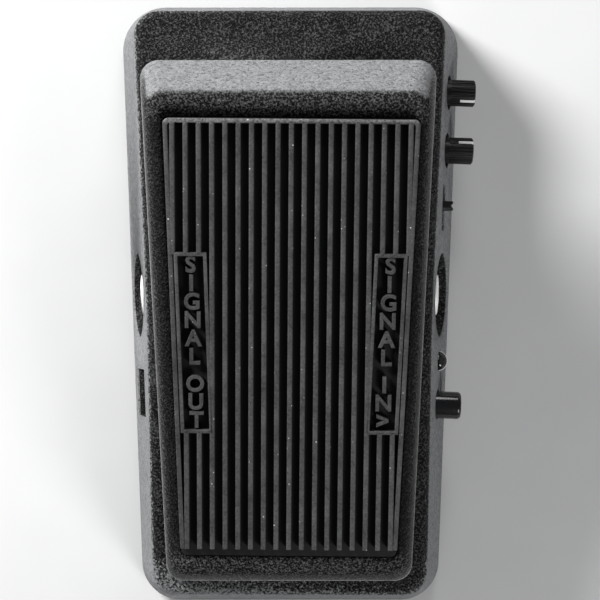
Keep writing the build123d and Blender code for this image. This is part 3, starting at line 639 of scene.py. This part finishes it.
def rib_tree():
    """Parallel ribs along Y, each cut short where it meets a slanted side edge."""
    growth = Growth("rib_field", [
        ("Count", "Int", 19), ("Pitch", "Float", 0.0029), ("Toe End", "Float", 0.04),
        ("Heel End", "Float", -0.05), ("Half Width", "Float", 0.025), ("Slope", "Float", 0.035),
        ("Band Inner", "Float", -1.0), ("Band Outer", "Float", 1.0),
        ("Rib Shape", "Object", None), ("Material", "Material", None),
    ])
    gaps = growth.math("SUBTRACT", growth.given("Count"), 1.0)
    span = growth.math("MULTIPLY", growth.given("Pitch"), gaps)
    first = growth.node("ShaderNodeCombineXYZ", None, {
        "X": growth.math("MULTIPLY", span, -0.5), "Y": growth.given("Toe End"),
    })
    step = growth.node("ShaderNodeCombineXYZ", None, {"X": growth.given("Pitch")})
    line = growth.node("GeometryNodeMeshLine", {"mode": "OFFSET"}, {
        "Count": growth.given("Count"), "Start Location": first.outputs[0], "Offset": step.outputs[0],
    })
    reach = growth.math("ABSOLUTE", growth.place()["X"])
    beyond = growth.math("SUBTRACT", reach, growth.given("Half Width"))
    crossing = growth.math("DIVIDE", beyond, growth.given("Slope"))
    low = growth.math("MAXIMUM", crossing, growth.given("Heel End"))
    length = growth.math("SUBTRACT", growth.given("Toe End"), low)
    drop = growth.math("MAXIMUM", growth.math("LESS_THAN", length, 0.001), growth.math(
        "MAXIMUM", growth.math("LESS_THAN", reach, growth.given("Band Inner")),
        growth.math("GREATER_THAN", reach, growth.given("Band Outer")),
    ))
    keep = growth.node("GeometryNodeDeleteGeometry", None, {
        "Geometry": line.outputs[0], "Selection": drop,
    })
    size = growth.node("ShaderNodeCombineXYZ", None, {"X": 1.0, "Y": length, "Z": 1.0})
    return growth.close(keep.outputs[0], "Rib Shape", {"Scale": size.outputs[0]})


def ring_tree():
    """Small bars set round a circle, as on a fluted grip."""
    growth = Growth("bar_ring", [
        ("Count", "Int", 24), ("Ring Radius", "Float", 0.003), ("Bar Shape", "Object", None),
        ("Material", "Material", None),
    ])
    circle = growth.node("GeometryNodeMeshCircle", None, {
        "Vertices": growth.given("Count"), "Radius": growth.given("Ring Radius"),
    })
    place = growth.place()
    turn = growth.math("ARCTAN2", place["Y"], place["X"])
    spin = growth.node("ShaderNodeCombineXYZ", None, {"Z": turn})
    return growth.close(circle.outputs[0], "Bar Shape", {"Rotation": spin.outputs[0]})


def spots_tree():
    """One shape repeated on every vertex of the host mesh."""
    growth = Growth("shape_on_spots", [("Shape", "Object", None), ("Material", "Material", None)])
    return growth.close(growth.given("Geometry"), "Shape")


def joined(name, pieces, material):
    """Join plain pieces into one object."""
    shape = bmesh.new()
    for piece in pieces:
        shape.from_mesh(piece.data)
        bpy.data.objects.remove(piece)
    return new_piece(name, smooth_mesh(name, shape), material)


# ---------------------------------------------------------------- settings
def length_prop(label, text, default):
    return bpy.props.FloatProperty(
        name=label, description=text, default=default, unit="LENGTH", precision=5
    )


def colour_prop(label, text, default):
    return bpy.props.FloatVectorProperty(
        name=label, description=text, default=default, size=3, subtype="COLOR", min=0, max=1
    )


def label_prop(label, default):
    return bpy.props.StringProperty(name=label, description="Raised letters", default=default)


class PedalCoatSettings(bpy.types.PropertyGroup):
    coat_low: colour_prop("Black coat, folds", "Colour in the wrinkles' folds", (0.003, 0.003, 0.003))
    # colour of the painted glints on the wrinkles' ridges
    coat_glint: colour_prop("Black coat, ridges", "Colour on their ridges", (0.082, 0.082, 0.082))
    wall_low: colour_prop("Grey coat, dark", "Darker tone of the grey coat", (0.12, 0.123, 0.125))
    wall_high: colour_prop("Grey coat, light", "Lighter tone of the grey coat", (0.24, 0.245, 0.25))
    # the pale lower edge: partly worn paint, partly a painted highlight
    edge_wear_and_highlight_tone: colour_prop("Rubbed edge", "Tone of the treadle's rubbed edge", (0.5, 0.5, 0.5))
    crinkle_size: length_prop("Wrinkle size", "Size of one wrinkle", 0.00048)
    peel_size: length_prop("Orange peel size", "Size of one dimple of the grey coat", 0.0016)
    coat_relief: length_prop("Coat relief", "Height of the wrinkles", 0.00018)
    # how much brighter the treadle's painted ridge glints are than the case's
    treadle_glint_gain: bpy.props.FloatProperty(
        name="Treadle wear", description="How much paler the treadle's worn ridges are", default=1.35
    )
    coat_line: length_prop("Coat line", "How far below the roof the grey coat starts", 0.0017)


class PedalMatSettings(bpy.types.PropertyGroup):
    toe: length_prop("Toe end", "Toe end of the mat, from the pivot", 0.0437)
    heel: length_prop("Heel end", "Heel end of the mat, from the pivot", -0.0549)
    half_width: length_prop("Half width", "Half width of the mat over the pivot", 0.02618)
    slope: bpy.props.FloatProperty(
        name="Side slope", description="Growth of the half width", default=0.0345
    )
    shift: length_prop("Shift", "How far off centre the mat is glued", 0.00053)
    turn: bpy.props.FloatProperty(
        name="Turn", description="How far askew the mat is glued", default=math.radians(-0.5),
        subtype="ANGLE",
    )
    bottom: length_prop("Bottom", "Underside of the mat, above the pivot", 0.0132)
    floor: length_prop("Floor", "Floor between the ribs, above the pivot", 0.0143)
    top: length_prop("Top", "Top of the ribs, above the pivot", 0.0164)
    rim: length_prop("Rim", "Width of the raised rim", 0.0010)
    pitch: length_prop("Rib pitch", "Distance between ribs", 0.002855)
    rib_width: length_prop("Rib width", "Width of one rib", 0.00112)
    rib_count: bpy.props.IntProperty(name="Ribs", description="Ribs at the toe end", default=19)
    rib_heel: length_prop("Rib end", "Where the ribs end at the heel", -0.0527)
    panel_low: length_prop("Panel heel end", "Heel end of the two label panels", -0.0259)
    panel_high: length_prop("Panel toe end", "Toe end of the two label panels", 0.0146)
    panel_edge: length_prop("Panel edge", "How far a label panel is from the mat's side", 0.0012)
    panel_width: length_prop("Panel width", "Width of a label panel", 0.0072)
    panel_line: length_prop("Panel line", "Width of the raised line round a panel", 0.0008)
    letter_height: length_prop("Letter height", "Height of the raised letters", 0.0037)
    left_label: label_prop("Left label", "SIGNAL OUT")
    right_label: label_prop("Right label", "SIGNAL IN>")
    # groove colour: painted shade down between the ribs
    groove_shade: colour_prop("Rubber, grooves", "Tone down in the grooves", (0.0035, 0.0035, 0.0038))
    low: colour_prop("Rubber, dark", "Darker tone of the rib crowns", (0.019, 0.019, 0.0195))
    high: colour_prop("Rubber, light", "Lighter tone of the rib crowns", (0.074, 0.074, 0.075))


class PedalControlSettings(bpy.types.PropertyGroup):
    knob_radius: length_prop("Knob radius", "Radius of the two small knobs", 0.0032)
    knob_end: length_prop("Knob end", "How far a knob stands out of the wall", 0.0062)
    flutes: bpy.props.IntProperty(name="Flutes", description="Ridges round a knob", default=26)
    button_radius: length_prop("Button radius", "Radius of the push button", 0.0033)
    button_end: length_prop("Button end", "How far the push button stands out", 0.0056)


# ---------------------------------------------------------------- pieces
def adopt(piece, body, slot, *nodes):
    """Ride and replace in one go, for a finished piece; slot is not used."""
    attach(piece, body)
    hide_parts(*nodes)
    return piece


def facing(out):
    """Turn whose Z axis points along out and whose Y axis is up."""
    up = Vector((0, 0, 1))
    return Matrix((up.cross(out), up, out)).transposed().to_4x4()


def wall_frame(joint_name):
    """Matrix at a joint whose Z axis points out of the right wall and whose Y axis is up."""
    where = joint(joint_name)
    out = Vector(where["axis"]).normalized()
    if out.x < 0:
        out = -out
    return Matrix.Translation(Vector(where["pos_m"])) @ facing(out)


def block(shape, size, centre):
    """Add a box to a bmesh."""
    made = bmesh.ops.create_cube(shape, size=1.0)["verts"]
    bmesh.ops.scale(shape, vec=size, verts=made)
    bmesh.ops.translate(shape, vec=centre, verts=made)


class PEDAL_OT_castings(bpy.types.Operator):
    """Coat the case and the treadle in their two tones"""

    bl_idname = "pedal.castings"
    bl_label = "Case and treadle"

    def execute(self, context):
        look = context.scene.pedal_coat
        case = merged_copy("case", "case_shell", two_tone("case_coat", look, case_mask(look)))
        adopt(case, "chassis", "case_paint", "case")
        coat = two_tone("treadle_coat", look, treadle_mask, ledge_shade_mask, edge_wear_and_highlight_mask)
        treadle = merged_copy("treadle", "treadle_shell", coat)
        adopt(treadle, "treadle", "treadle_paint", "treadle")
        return {"FINISHED"}


class PEDAL_OT_mat(bpy.types.Operator):
    """Mould the ribbed rubber mat with its rims, ribs and label panels"""

    bl_idname = "pedal.mat"
    bl_label = "Ribbed mat"
    outer_corner = 0.0012
    inner_corner = 0.0006
    letter_gain = 1.34      # font size for one metre of capital height
    letter_swell = 0.00006
    letter_bevel = 0.00012
    rib_round = 0.25 * MM

    def half(self, mat, u, inset=0.0):
        return mat.half_width + mat.slope * u - inset

    def outline(self, mat, low, high, inset, radius):
        """Rounded outline of the mat, counter-clockwise from the heel's right corner."""
        points = []
        corners = (low, 1, 1, -90), (high, 1, -1, 0), (high, -1, -1, 90), (low, -1, 1, 180)
        for y, side, inward, start in corners:
            centre = (side * (self.half(mat, y, inset) - radius), y + inward * radius)
            points += arc(centre, radius, start, start + 90, 4)
        return points

    def rim(self, mat):
        """Raised rim round the toe and both sides, open at the heel."""
        low, high, width = mat.rib_heel, mat.toe, mat.rim
        outer = self.outline(mat, low, high, 0.0, self.outer_corner)[5:15]
        inner = self.outline(mat, low, high - width, width, self.inner_corner)[5:15]
        ends = [(self.half(mat, low), low)], [(-self.half(mat, low), low)]
        inner_ends = [(-self.half(mat, low, width), low)], [(self.half(mat, low, width), low)]
        return ends[0] + outer + ends[1] + inner_ends[0] + list(reversed(inner)) + inner_ends[1]

    def panel(self, mat, side, inset):
        """Counter-clockwise outline of one label panel."""
        outer = mat.panel_edge + inset
        inner = mat.panel_edge + mat.panel_width - inset
        low, high = mat.panel_low + inset, mat.panel_high - inset
        points = [
            (side * self.half(mat, low, outer), low), (side * self.half(mat, high, outer), high),
            (side * self.half(mat, high, inner), high), (side * self.half(mat, low, inner), low),
        ]
        return points if side > 0 else list(reversed(points))

    def letters(self, mat, side, text, material):
        """Raised letters stacked down one panel."""
        room = mat.panel_high - mat.panel_low - 2 * mat.panel_line
        step = room / (len(text) - 0.5 * text.count(" "))
        made = []
        travelled = 0.0
        for letter in text:
            if letter == " ":
                travelled += step / 2
                continue
            travelled += step
            curve = bpy.data.curves.new("letter", "FONT")
            curve.body = letter
            curve.align_x = "CENTER"
            curve.align_y = "CENTER"
            curve.size = mat.letter_height * self.letter_gain
            curve.offset = self.letter_swell
            curve.extrude = (mat.top - mat.floor) / 2 - self.letter_bevel
            curve.bevel_depth = self.letter_bevel
            curve.bevel_resolution = 1
            curve.resolution_u = 4
            flat = bpy.data.objects.new("letter", curve)
            bpy.context.scene.collection.objects.link(flat)
            mesh = evaluated_mesh(flat)
            bpy.data.objects.remove(flat)
            u = mat.panel_high - mat.panel_line - travelled + step / 2
            x = side * self.half(mat, u, mat.panel_edge + mat.panel_width / 2)
            lift = (mat.top + mat.floor) / 2 - 2 * SINK
            mesh.transform(Matrix.Translation((x, u, lift)))
            made.append(new_piece("letter", mesh, material))
        return made

    def panel_frame(self, mat, side, material):
        """Raised line round one label panel."""
        shape = bmesh.new()
        outer, inner = (
            [shape.verts.new((*p, z)) for z in (mat.floor - SINK, mat.top)
             for p in self.panel(mat, side, inset)]
            for inset in (0.0, mat.panel_line)
        )
        for i in range(4):
            j = (i + 1) % 4
            shape.faces.new((outer[i], outer[j], outer[4 + j], outer[4 + i]))
            shape.faces.new((inner[j], inner[i], inner[4 + i], inner[4 + j]))
            shape.faces.new((outer[4 + i], outer[4 + j], inner[4 + j], inner[4 + i]))
            shape.faces.new((outer[j], outer[i], inner[i], inner[j]))
        return soften(from_bmesh("panel_frame", shape, material), 0.00015)

    def rib(self, mat, material):
        """One rib, a metre long, with a rounded crown."""
        bar = bmesh.new()
        half, curve = mat.rib_width / 2, self.rib_round
        crown = [(-half, mat.floor - SINK), (half, mat.floor - SINK)]
        crown += arc((half - curve, mat.top - curve), curve, 0, 90, 3)
        crown += arc((-half + curve, mat.top - curve), curve, 90, 180, 3)
        near = [bar.verts.new((x, 0.0, z)) for x, z in crown]
        far = [bar.verts.new((x, -1.0, z)) for x, z in crown]
        bar.faces.new(near)
        bar.faces.new(list(reversed(far)))
        for i in range(len(crown)):
            j = (i + 1) % len(crown)
            bar.faces.new((near[i], far[i], far[j], near[j]))
        return from_bmesh("rib_shape", bar, material)

    def execute(self, context):
        mat = context.scene.pedal_mat
        material = mat_rubber(mat)
        solid = bmesh.new()
        edge = self.outline(mat, mat.heel, mat.toe, 0.0, self.outer_corner)
        prism(solid, edge, mat.bottom, mat.floor)
        prism(solid, self.rim(mat), mat.floor - SINK, mat.top)
        pieces = [soften(from_bmesh("mat_base", solid, material), 0.00022, 3)]
        for side, label in ((-1, mat.left_label), (1, mat.right_label)):
            pieces.append(self.panel_frame(mat, side, material))
            pieces += self.letters(mat, side, label, material)

        rib = self.rib(mat, material)
        tree = rib_tree()
        side_edge = mat.half_width - mat.rim * 0.5
        panel_edge = mat.half_width - mat.panel_edge - mat.panel_width + mat.panel_line * 0.5
        toe_start = mat.toe - mat.rim * 0.6
        panel_toe = mat.panel_high - mat.panel_line * 0.5
        panel_heel = mat.panel_low + mat.panel_line * 0.5
        clear = panel_edge + mat.slope * mat.panel_low - mat.rib_width / 2
        spans = (
            (toe_start, mat.rib_heel, side_edge, -1.0, clear),
            (toe_start, panel_toe, side_edge, clear, 1.0),
            (panel_toe, panel_heel, panel_edge, clear, 1.0),
            (panel_heel, mat.rib_heel, side_edge, clear, 1.0),
        )
        for toe_end, heel_end, edge, inner, outer in spans:
            host = new_piece("ribs", bpy.data.meshes.new("ribs"))
            pieces.append(grown(host, tree, {
                "Count": mat.rib_count, "Pitch": mat.pitch, "Toe End": toe_end, "Heel End": heel_end,
                "Half Width": edge, "Slope": mat.slope, "Band Inner": inner, "Band Outer": outer,
                "Rib Shape": rib, "Material": material,
            }))
        bpy.data.objects.remove(rib)
        whole = joined("ribbed_mat", pieces, material)
        glued = Matrix.Translation((mat.shift, 0, 0)) @ Matrix.Rotation(mat.turn, 4, "Z")
        whole.data.transform(TREADLE @ glued)
        adopt(whole, "treadle", "mat_rubber", "treadle_mat")
        return {"FINISHED"}


class PEDAL_OT_knobs(bpy.types.Operator):
    """Turn the two fluted knobs with their white pointer lines"""

    bl_idname = "pedal.knobs"
    bl_label = "Fluted knobs"
    root = -0.0022          # inner end, inside the wall
    flute_radius = 0.0002
    core_gap = 0.00015      # core's surface under the tips of the flutes
    rim = 0.0004
    dish = 0.0002           # depth of the hollow in the outer face
    line_size = (0.00075, 0.0007, 0.0036)

    def execute(self, context):
        size = context.scene.pedal_controls
        body = plastic("knob_plastic", (0.004, 0.004, 0.004), (0.01, 0.01, 0.011), 0.4)
        white = plastic("pointer_white", (0.9, 0.9, 0.89), (0.96, 0.96, 0.95), 0.4)
        radius, end = size.knob_radius, size.knob_end
        bar = bmesh.new()
        flute = rounded_profile(self.flute_radius, 0.0004, end - 0.0003, self.flute_radius / 2, 2)
        lathe(bar, flute, 10)
        bar_shape = from_bmesh("flute_shape", bar, body)
        tree = ring_tree()
        for knob, joint_name in KNOB_JOINTS.items():
            place = wall_frame(joint_name) @ Matrix.Rotation(POINTER_ANGLES[knob], 4, "Z")
            core = bmesh.new()
            wide = radius - self.core_gap
            profile = [(0, self.root), (wide, self.root)]
            profile += arc((wide - self.rim, end - self.rim), self.rim, 0, 90, 4)
            profile += [(radius * 0.7, end), (radius * 0.66, end - self.dish), (0, end - self.dish)]
            lathe(core, profile, 64)
            grip = from_bmesh("grip_core", core, body)
            host = new_piece("flutes", bpy.data.meshes.new("flutes"))
            flutes = grown(host, tree, {
                "Count": size.flutes, "Ring Radius": radius - self.flute_radius,
                "Bar Shape": bar_shape, "Material": body,
            })
            whole = joined(knob + "_grip", [grip, flutes], body)
            whole.data.transform(place)
            adopt(whole, frame["nodes"][knob]["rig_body"], "knob_plastic", knob)

            line = bmesh.new()
            block(line, self.line_size, (0, radius - 0.0003, end - 0.0019))
            pointer = soften(from_bmesh(knob + "_line", line, white), 0.00012)
            pointer.data.transform(place)
            adopt(pointer, frame["nodes"][knob]["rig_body"], "pointer_white", knob + "_pointer")
        bpy.data.objects.remove(bar_shape)
        return {"FINISHED"}


class PEDAL_OT_button_and_lamp(bpy.types.Operator):
    """Mould the glossy push button, the clear lamp and the slide lever"""

    bl_idname = "pedal.button_and_lamp"
    bl_label = "Button, lamp and slider"
    skirt = -0.0018         # inner end of the button's cap
    edge = 0.0010
    stem_radius = 0.0016
    stem_end = -0.009
    dome_radius = 0.0029

    def execute(self, context):
        size = context.scene.pedal_controls
        gloss = plastic("button_gloss", (0.006, 0.006, 0.007), (0.009, 0.009, 0.01), 0.26, coat=0.35)
        cap = bmesh.new()
        radius, end = size.button_radius, size.button_end
        profile = [(0, self.skirt), (radius, self.skirt)]
        profile += arc((radius - self.edge, end - self.edge), self.edge, 0, 62, 5)
        lathe(cap, profile + [(radius * 0.5, end - 0.00006), (0, end)], 64)
        stem_top = self.skirt + SINK
        lathe(cap, [(0, self.stem_end), (self.stem_radius, self.stem_end),
                    (self.stem_radius, stem_top), (0, stem_top)], 24)
        button = from_bmesh("push_button_cap", cap, gloss)
        low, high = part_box("boost_button")
        turn = wall_frame("q_turn").to_3x3()
        out = (turn @ Vector((0, 0, 1))).normalized()
        turn = turn.to_4x4()
        centre_depth = (end + self.stem_end) / 2
        button.data.transform(Matrix.Translation((low + high) / 2 - out * centre_depth) @ turn)
        adopt(button, "boost_button", "button_gloss", "boost_button")

        lens = merged_copy("boost_lamp", "lamp_lens", lamp_lens(), 40)
        adopt(lens, "chassis", "lamp_clear", "boost_lamp")
        low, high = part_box("boost_lamp")
        dome = (low + high) / 2 + out * ((high.x - low.x) / 2 - self.dome_radius)
        for name, offset, extent, tone in (
            ("lamp_die_cup", -0.0009, (0.0011, 0.0014, 0.0016), (0.85, 0.85, 0.84)),
            ("lamp_lead_post", 0.0010, (0.0013, 0.0013, 0.0020), (0.012, 0.012, 0.012)),
        ):
            inner = bmesh.new()
            block(inner, extent, (-offset, 0.0004, 0.0))
            finish = plastic(name, tone, [c * 1.1 for c in tone], 0.3)
            part = soften(from_bmesh(name, inner, finish), 0.00025, 3)
            part.data.transform(Matrix.Translation(dome) @ turn)
            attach(part, "chassis")
        lever = merged_copy("range_slider", "slide_lever", plastic(
            "slider_black", (0.006, 0.006, 0.006), (0.014, 0.014, 0.015), 0.4))
        soften(lever, 0.00018)
        adopt(lever, "range_slider", "black_plastic", "range_slider")
        return {"FINISHED"}


class PEDAL_OT_sockets(bpy.types.Operator):
    """Knurl the two bright socket nuts"""

    bl_idname = "pedal.sockets"
    bl_label = "Socket nuts"
    outer, inner = 0.00535, 0.00474
    back, face, front = -0.0035, -0.0021, -0.0011
    rim = 0.0009
    knurl_radius = 0.00018
    knurls = 36
    seat = 0.015            # from the socket's mount out to the nut's own origin

    def execute(self, context):
        # near-white and barely metallic, so the plating looks as bright as a reflection of bright
        # light: a painted reflection
        nickel = metal("nickel_plate", (0.9, 0.9, 0.89), (0.97, 0.97, 0.96), 0.5, metallic=0.35)
        bar = bmesh.new()
        lathe(bar, rounded_profile(self.knurl_radius, self.back, -0.0023, 0.00012, 2), 8)
        bar_shape = from_bmesh("knurl_shape", bar, nickel)
        tree = ring_tree()
        mounts = {mount["name"]: mount for mount in frame["record"]["mounts"]}
        for side in ("input", "output"):
            node = side + "_jack_nut"
            mount = mounts[side + "_socket"]
            out = Vector(mount["axis"]).normalized()
            place = Matrix.Translation(Vector(mount["pos_m"]) + out * self.seat) @ facing(out)
            ring = bmesh.new()
            profile = [(self.inner, self.back), (self.outer, self.back), (self.outer, self.face)]
            profile += arc((self.outer - self.rim, self.face), self.rim, 10, 80, 5)
            profile += [(self.inner + SINK, self.front), (self.inner, self.front - SINK)]
            lathe(ring, profile + [(self.inner, self.back)], 64)
            core = from_bmesh("nut_core", ring, nickel)
            host = new_piece("knurls", bpy.data.meshes.new("knurls"))
            knurls = grown(host, tree, {
                "Count": self.knurls, "Ring Radius": self.outer - 0.00005,
                "Bar Shape": bar_shape, "Material": nickel,
            })
            whole = joined(node + "_ring", [core, knurls], nickel)
            whole.data.transform(place)
            adopt(whole, "chassis", "nickel", node)
        bpy.data.objects.remove(bar_shape)
        return {"FINISHED"}


class PEDAL_OT_feet_and_screws(bpy.types.Operator):
    """Set the rubber feet and the base screws"""

    bl_idname = "pedal.feet_and_screws"
    bl_label = "Feet and base screws"

    def spots(self, node, count):
        """Centres of the separate solids of a node, seen from above."""
        shape = welded(node)
        left = set(shape.verts)
        centres = []
        while left:
            stack = [left.pop()]
            island = []
            while stack:
                vert = stack.pop()
                island.append(vert.co.copy())
                for edge in vert.link_edges:
                    other = edge.other_vert(vert)
                    if other in left:
                        left.remove(other)
                        stack.append(other)
            xs = [c.x for c in island]
            ys = [c.y for c in island]
            centres.append(((min(xs) + max(xs)) / 2, (min(ys) + max(ys)) / 2, 0.0))
        shape.free()
        if len(centres) != count:
            raise ValueError(f"{node} has {len(centres)} solids, not {count}")
        return sorted(centres)

    def foot(self, material):
        """A foot with a rounded tread that stands on the floor."""
        foot = bmesh.new()
        profile = [(0, 0.0003), (0.0042, 0.0003), (0.0046, 0.0)]
        profile += arc((0.0052, 0.0008), 0.0008, -90, 0, 4)
        lathe(foot, profile + [(0.006, 0.0025), (0, 0.0025)], 48)
        return from_bmesh("foot_shape", foot, material)

    def screw(self, material):
        """A countersunk screw with a cross recess, head down."""
        screw = bmesh.new()
        head = [(0, 0.0028), (0.0007, 0.0026), (0.00285, 0.0026), (0.0029, 0.0028)]
        shank = [(0.0015, 0.0036), (0.0015, 0.0125), (0.0006, 0.0138), (0, 0.0138)]
        lathe(screw, head + shank, 32)
        shape = from_bmesh("screw_shape", screw, material)
        drive = bmesh.new()
        for width, depth in ((0.0034, 0.0007), (0.0007, 0.0034)):
            block(drive, (width, depth, 0.0024), (0, 0, 0.0024))
        cutter = from_bmesh("cross_recess", drive, material)
        recess = shape.modifiers.new("recess", "BOOLEAN")
        recess.operation = "DIFFERENCE"
        recess.solver = "EXACT"
        recess.use_self = True
        recess.object = cutter
        settled(shape)
        bpy.data.objects.remove(cutter)
        return shape

    def execute(self, context):
        tree = spots_tree()
        black = rubber("foot_rubber", (0.012, 0.012, 0.012), (0.03, 0.03, 0.03))
        steel = metal("screw_zinc", (0.5, 0.51, 0.52), (0.68, 0.69, 0.7), 0.3)
        jobs = (
            ("rubber_feet", self.foot(black), black, "soft_rubber"),
            ("base_screws", self.screw(steel), steel, "fastener_steel"),
        )
        for node, shape, material, slot in jobs:
            host_mesh = bpy.data.meshes.new(node)
            host_mesh.from_pydata(self.spots(node, 4), [], [])
            host = new_piece(node + "_set", host_mesh)
            host = grown(host, tree, {"Shape": shape, "Material": material})
            adopt(host, "chassis", slot, node)
            bpy.data.objects.remove(shape)
        return {"FINISHED"}


class PEDAL_OT_inner_parts(bpy.types.Operator):
    """Give every part that keeps its frame shape its own finish"""

    bl_idname = "pedal.inner_parts"
    bl_label = "Metalwork, boards and inner parts"

    def execute(self, context):
        steel = metal("zinc_sheet", (0.46, 0.47, 0.48), (0.62, 0.63, 0.64), 0.32, 0.0006, (1, 0.12, 1))
        ground = metal("ground_steel", (0.55, 0.55, 0.56), (0.72, 0.72, 0.73), 0.2, 0.0004, (0.1, 1, 1))
        black = plastic("black_plastic", (0.008, 0.008, 0.009), (0.02, 0.02, 0.021), 0.45)
        pad = rubber("stop_rubber", (0.01, 0.01, 0.01), (0.026, 0.026, 0.026))
        finishes = {
            steel: "base_plate pot_bracket main_pot_housing main_pot_nut board_screws "
                   "gear_sector_screws pivot_set_screws pot_bracket_screws",
            ground: "pivot_shaft main_pot_shaft q_pot_shaft volume_pot_shaft",
            black: "input_jack output_jack power_inlet range_switch_body boost_switch_body "
                   "q_pot_housing volume_pot_housing toe_switch_nut",
            pad: "heel_bumpers toe_bumpers toe_striker_pad",
            metal("bright_nickel", (0.74, 0.74, 0.73), (0.88, 0.88, 0.87), 0.16):
                "jack_lugs power_inlet_pin toe_plunger",
            plastic("natural_nylon", (0.62, 0.6, 0.54), (0.78, 0.76, 0.7), 0.45):
                "pivot_bushings gear_sector pinion",
            switch_finish(): "toe_switch_body",
            board_coat("board_green"): "main_board control_board boost_board",
            plastic("inductor_dip", (0.3, 0.03, 0.02), (0.45, 0.06, 0.04), 0.35): "inductor",
            plastic("capacitor_sleeve", (0.008, 0.012, 0.05), (0.02, 0.03, 0.09), 0.25):
                "electrolytic_capacitors",
            plastic("film_box", (0.45, 0.28, 0.03), (0.6, 0.4, 0.06), 0.3): "film_capacitors",
            banded("resistor_coat", (0.5, 0.38, 0.2), (0.2, 0.05, 0.02), 0.0016): "resistors",
            plastic("chip_epoxy", (0.012, 0.012, 0.012), (0.025, 0.025, 0.025), 0.5): "op_amp_chips",
            plastic("wire_pvc", (0.22, 0.22, 0.24), (0.36, 0.36, 0.38), 0.45):
                "wiring_leads ribbon_cable",
        }
        for material, names in finishes.items():
            for name in names.split():
                mesh = frame["nodes"][name].data
                mesh.materials.clear()
                mesh.materials.append(material)
        return {"FINISHED"}


class PEDAL_OT_stage(bpy.types.Operator):
    """Lay the pale floor, set the soft lights and aim the camera"""

    bl_idname = "pedal.stage"
    bl_label = "Stage, lights and camera"
    lights = (
        ("key", (-0.5, 0.42, 0.42), 0.3, 11.8),
        ("toe", (0.12, 0.7, 0.42), 0.25, 1.6),
        ("fill", (0.42, -0.52, 0.42), 0.3, 3.2),
    )
    light_aim = Vector((0, 0, 0.02))
    camera_at = Vector((MIDDLE_X + 0.0045, -0.004, 0.415))
    camera_aim = Vector((MIDDLE_X + 0.0024, 0.00075, 0.0))
    focal_mm = 99

    def light(self, name, where, size, power):
        lamp = bpy.data.lights.new(name, "AREA")
        lamp.shape = "DISK"
        lamp.size = size
        lamp.energy = power
        placed = bpy.data.objects.new(name, lamp)
        placed.location = where
        placed.rotation_euler = (self.light_aim - Vector(where)).to_track_quat("-Z", "Y").to_euler()
        bpy.context.scene.collection.objects.link(placed)

    def execute(self, context):
        scene = context.scene
        finish = Finish("floor_paper", roughness=0.9)
        finish.colour(finish.mix(finish.noise(0.02), (0.58, 0.58, 0.58), (0.62, 0.62, 0.62)))
        floor_shape = bmesh.new()
        bmesh.ops.create_grid(floor_shape, x_segments=4, y_segments=4, size=1.5)
        floor = from_bmesh("floor", floor_shape, finish.material)

        world = scene.world or bpy.data.worlds.new("studio")
        scene.world = world
        world.use_nodes = True
        backdrop = world.node_tree.nodes["Background"].inputs
        backdrop["Color"].default_value = (0.92, 0.95, 1.0, 1)
        backdrop["Strength"].default_value = 0.14
        for name, where, size, power in self.lights:
            self.light(name, where, size, power)
        scene.view_settings.view_transform = "Standard"

        lens = bpy.data.cameras.new("camera")
        lens.sensor_width = 36
        lens.lens = self.focal_mm
        camera = bpy.data.objects.new("camera", lens)
        scene.collection.objects.link(camera)
        back = (self.camera_at - self.camera_aim).normalized()
        right = Vector((0, 1, 0)).cross(back).normalized()
        up = back.cross(right)
        turn = Matrix((right, up, back)).transposed().to_4x4()
        camera.matrix_world = Matrix.Translation(self.camera_at) @ turn
        scene.camera = camera
        return {"FINISHED"}


class PEDAL_PT_panel(bpy.types.Panel):
    """Lists the pedal's pieces in the sidebar"""

    bl_idname = "PEDAL_PT_panel"
    bl_label = "Rocker Pedal"
    bl_space_type = "VIEW_3D"
    bl_region_type = "UI"
    bl_category = "Rocker Pedal"

    def draw(self, context):
        for operator in OPERATORS:
            self.layout.operator(operator.bl_idname)
        for group in (context.scene.pedal_coat, context.scene.pedal_mat, context.scene.pedal_controls):
            box = self.layout.box()
            for key in group.__annotations__:
                box.prop(group, key)


SETTINGS = {
    "pedal_coat": PedalCoatSettings,
    "pedal_mat": PedalMatSettings,
    "pedal_controls": PedalControlSettings,
}
OPERATORS = (
    PEDAL_OT_stage, PEDAL_OT_castings, PEDAL_OT_mat, PEDAL_OT_knobs, PEDAL_OT_button_and_lamp,
    PEDAL_OT_sockets, PEDAL_OT_feet_and_screws, PEDAL_OT_inner_parts,
)
CLASSES = (*SETTINGS.values(), *OPERATORS, PEDAL_PT_panel)


def register():
    for cls in CLASSES:
        bpy.utils.register_class(cls)
    for name, cls in SETTINGS.items():
        setattr(bpy.types.Scene, name, bpy.props.PointerProperty(type=cls))


def unregister():
    for name in SETTINGS:
        delattr(bpy.types.Scene, name)
    for cls in reversed(CLASSES):
        bpy.utils.unregister_class(cls)


def main():
    register()
    for operator in OPERATORS:
        group, action = operator.bl_idname.split(".")
        getattr(getattr(bpy.ops, group), action)()


if __name__ == "__main__":
    main()
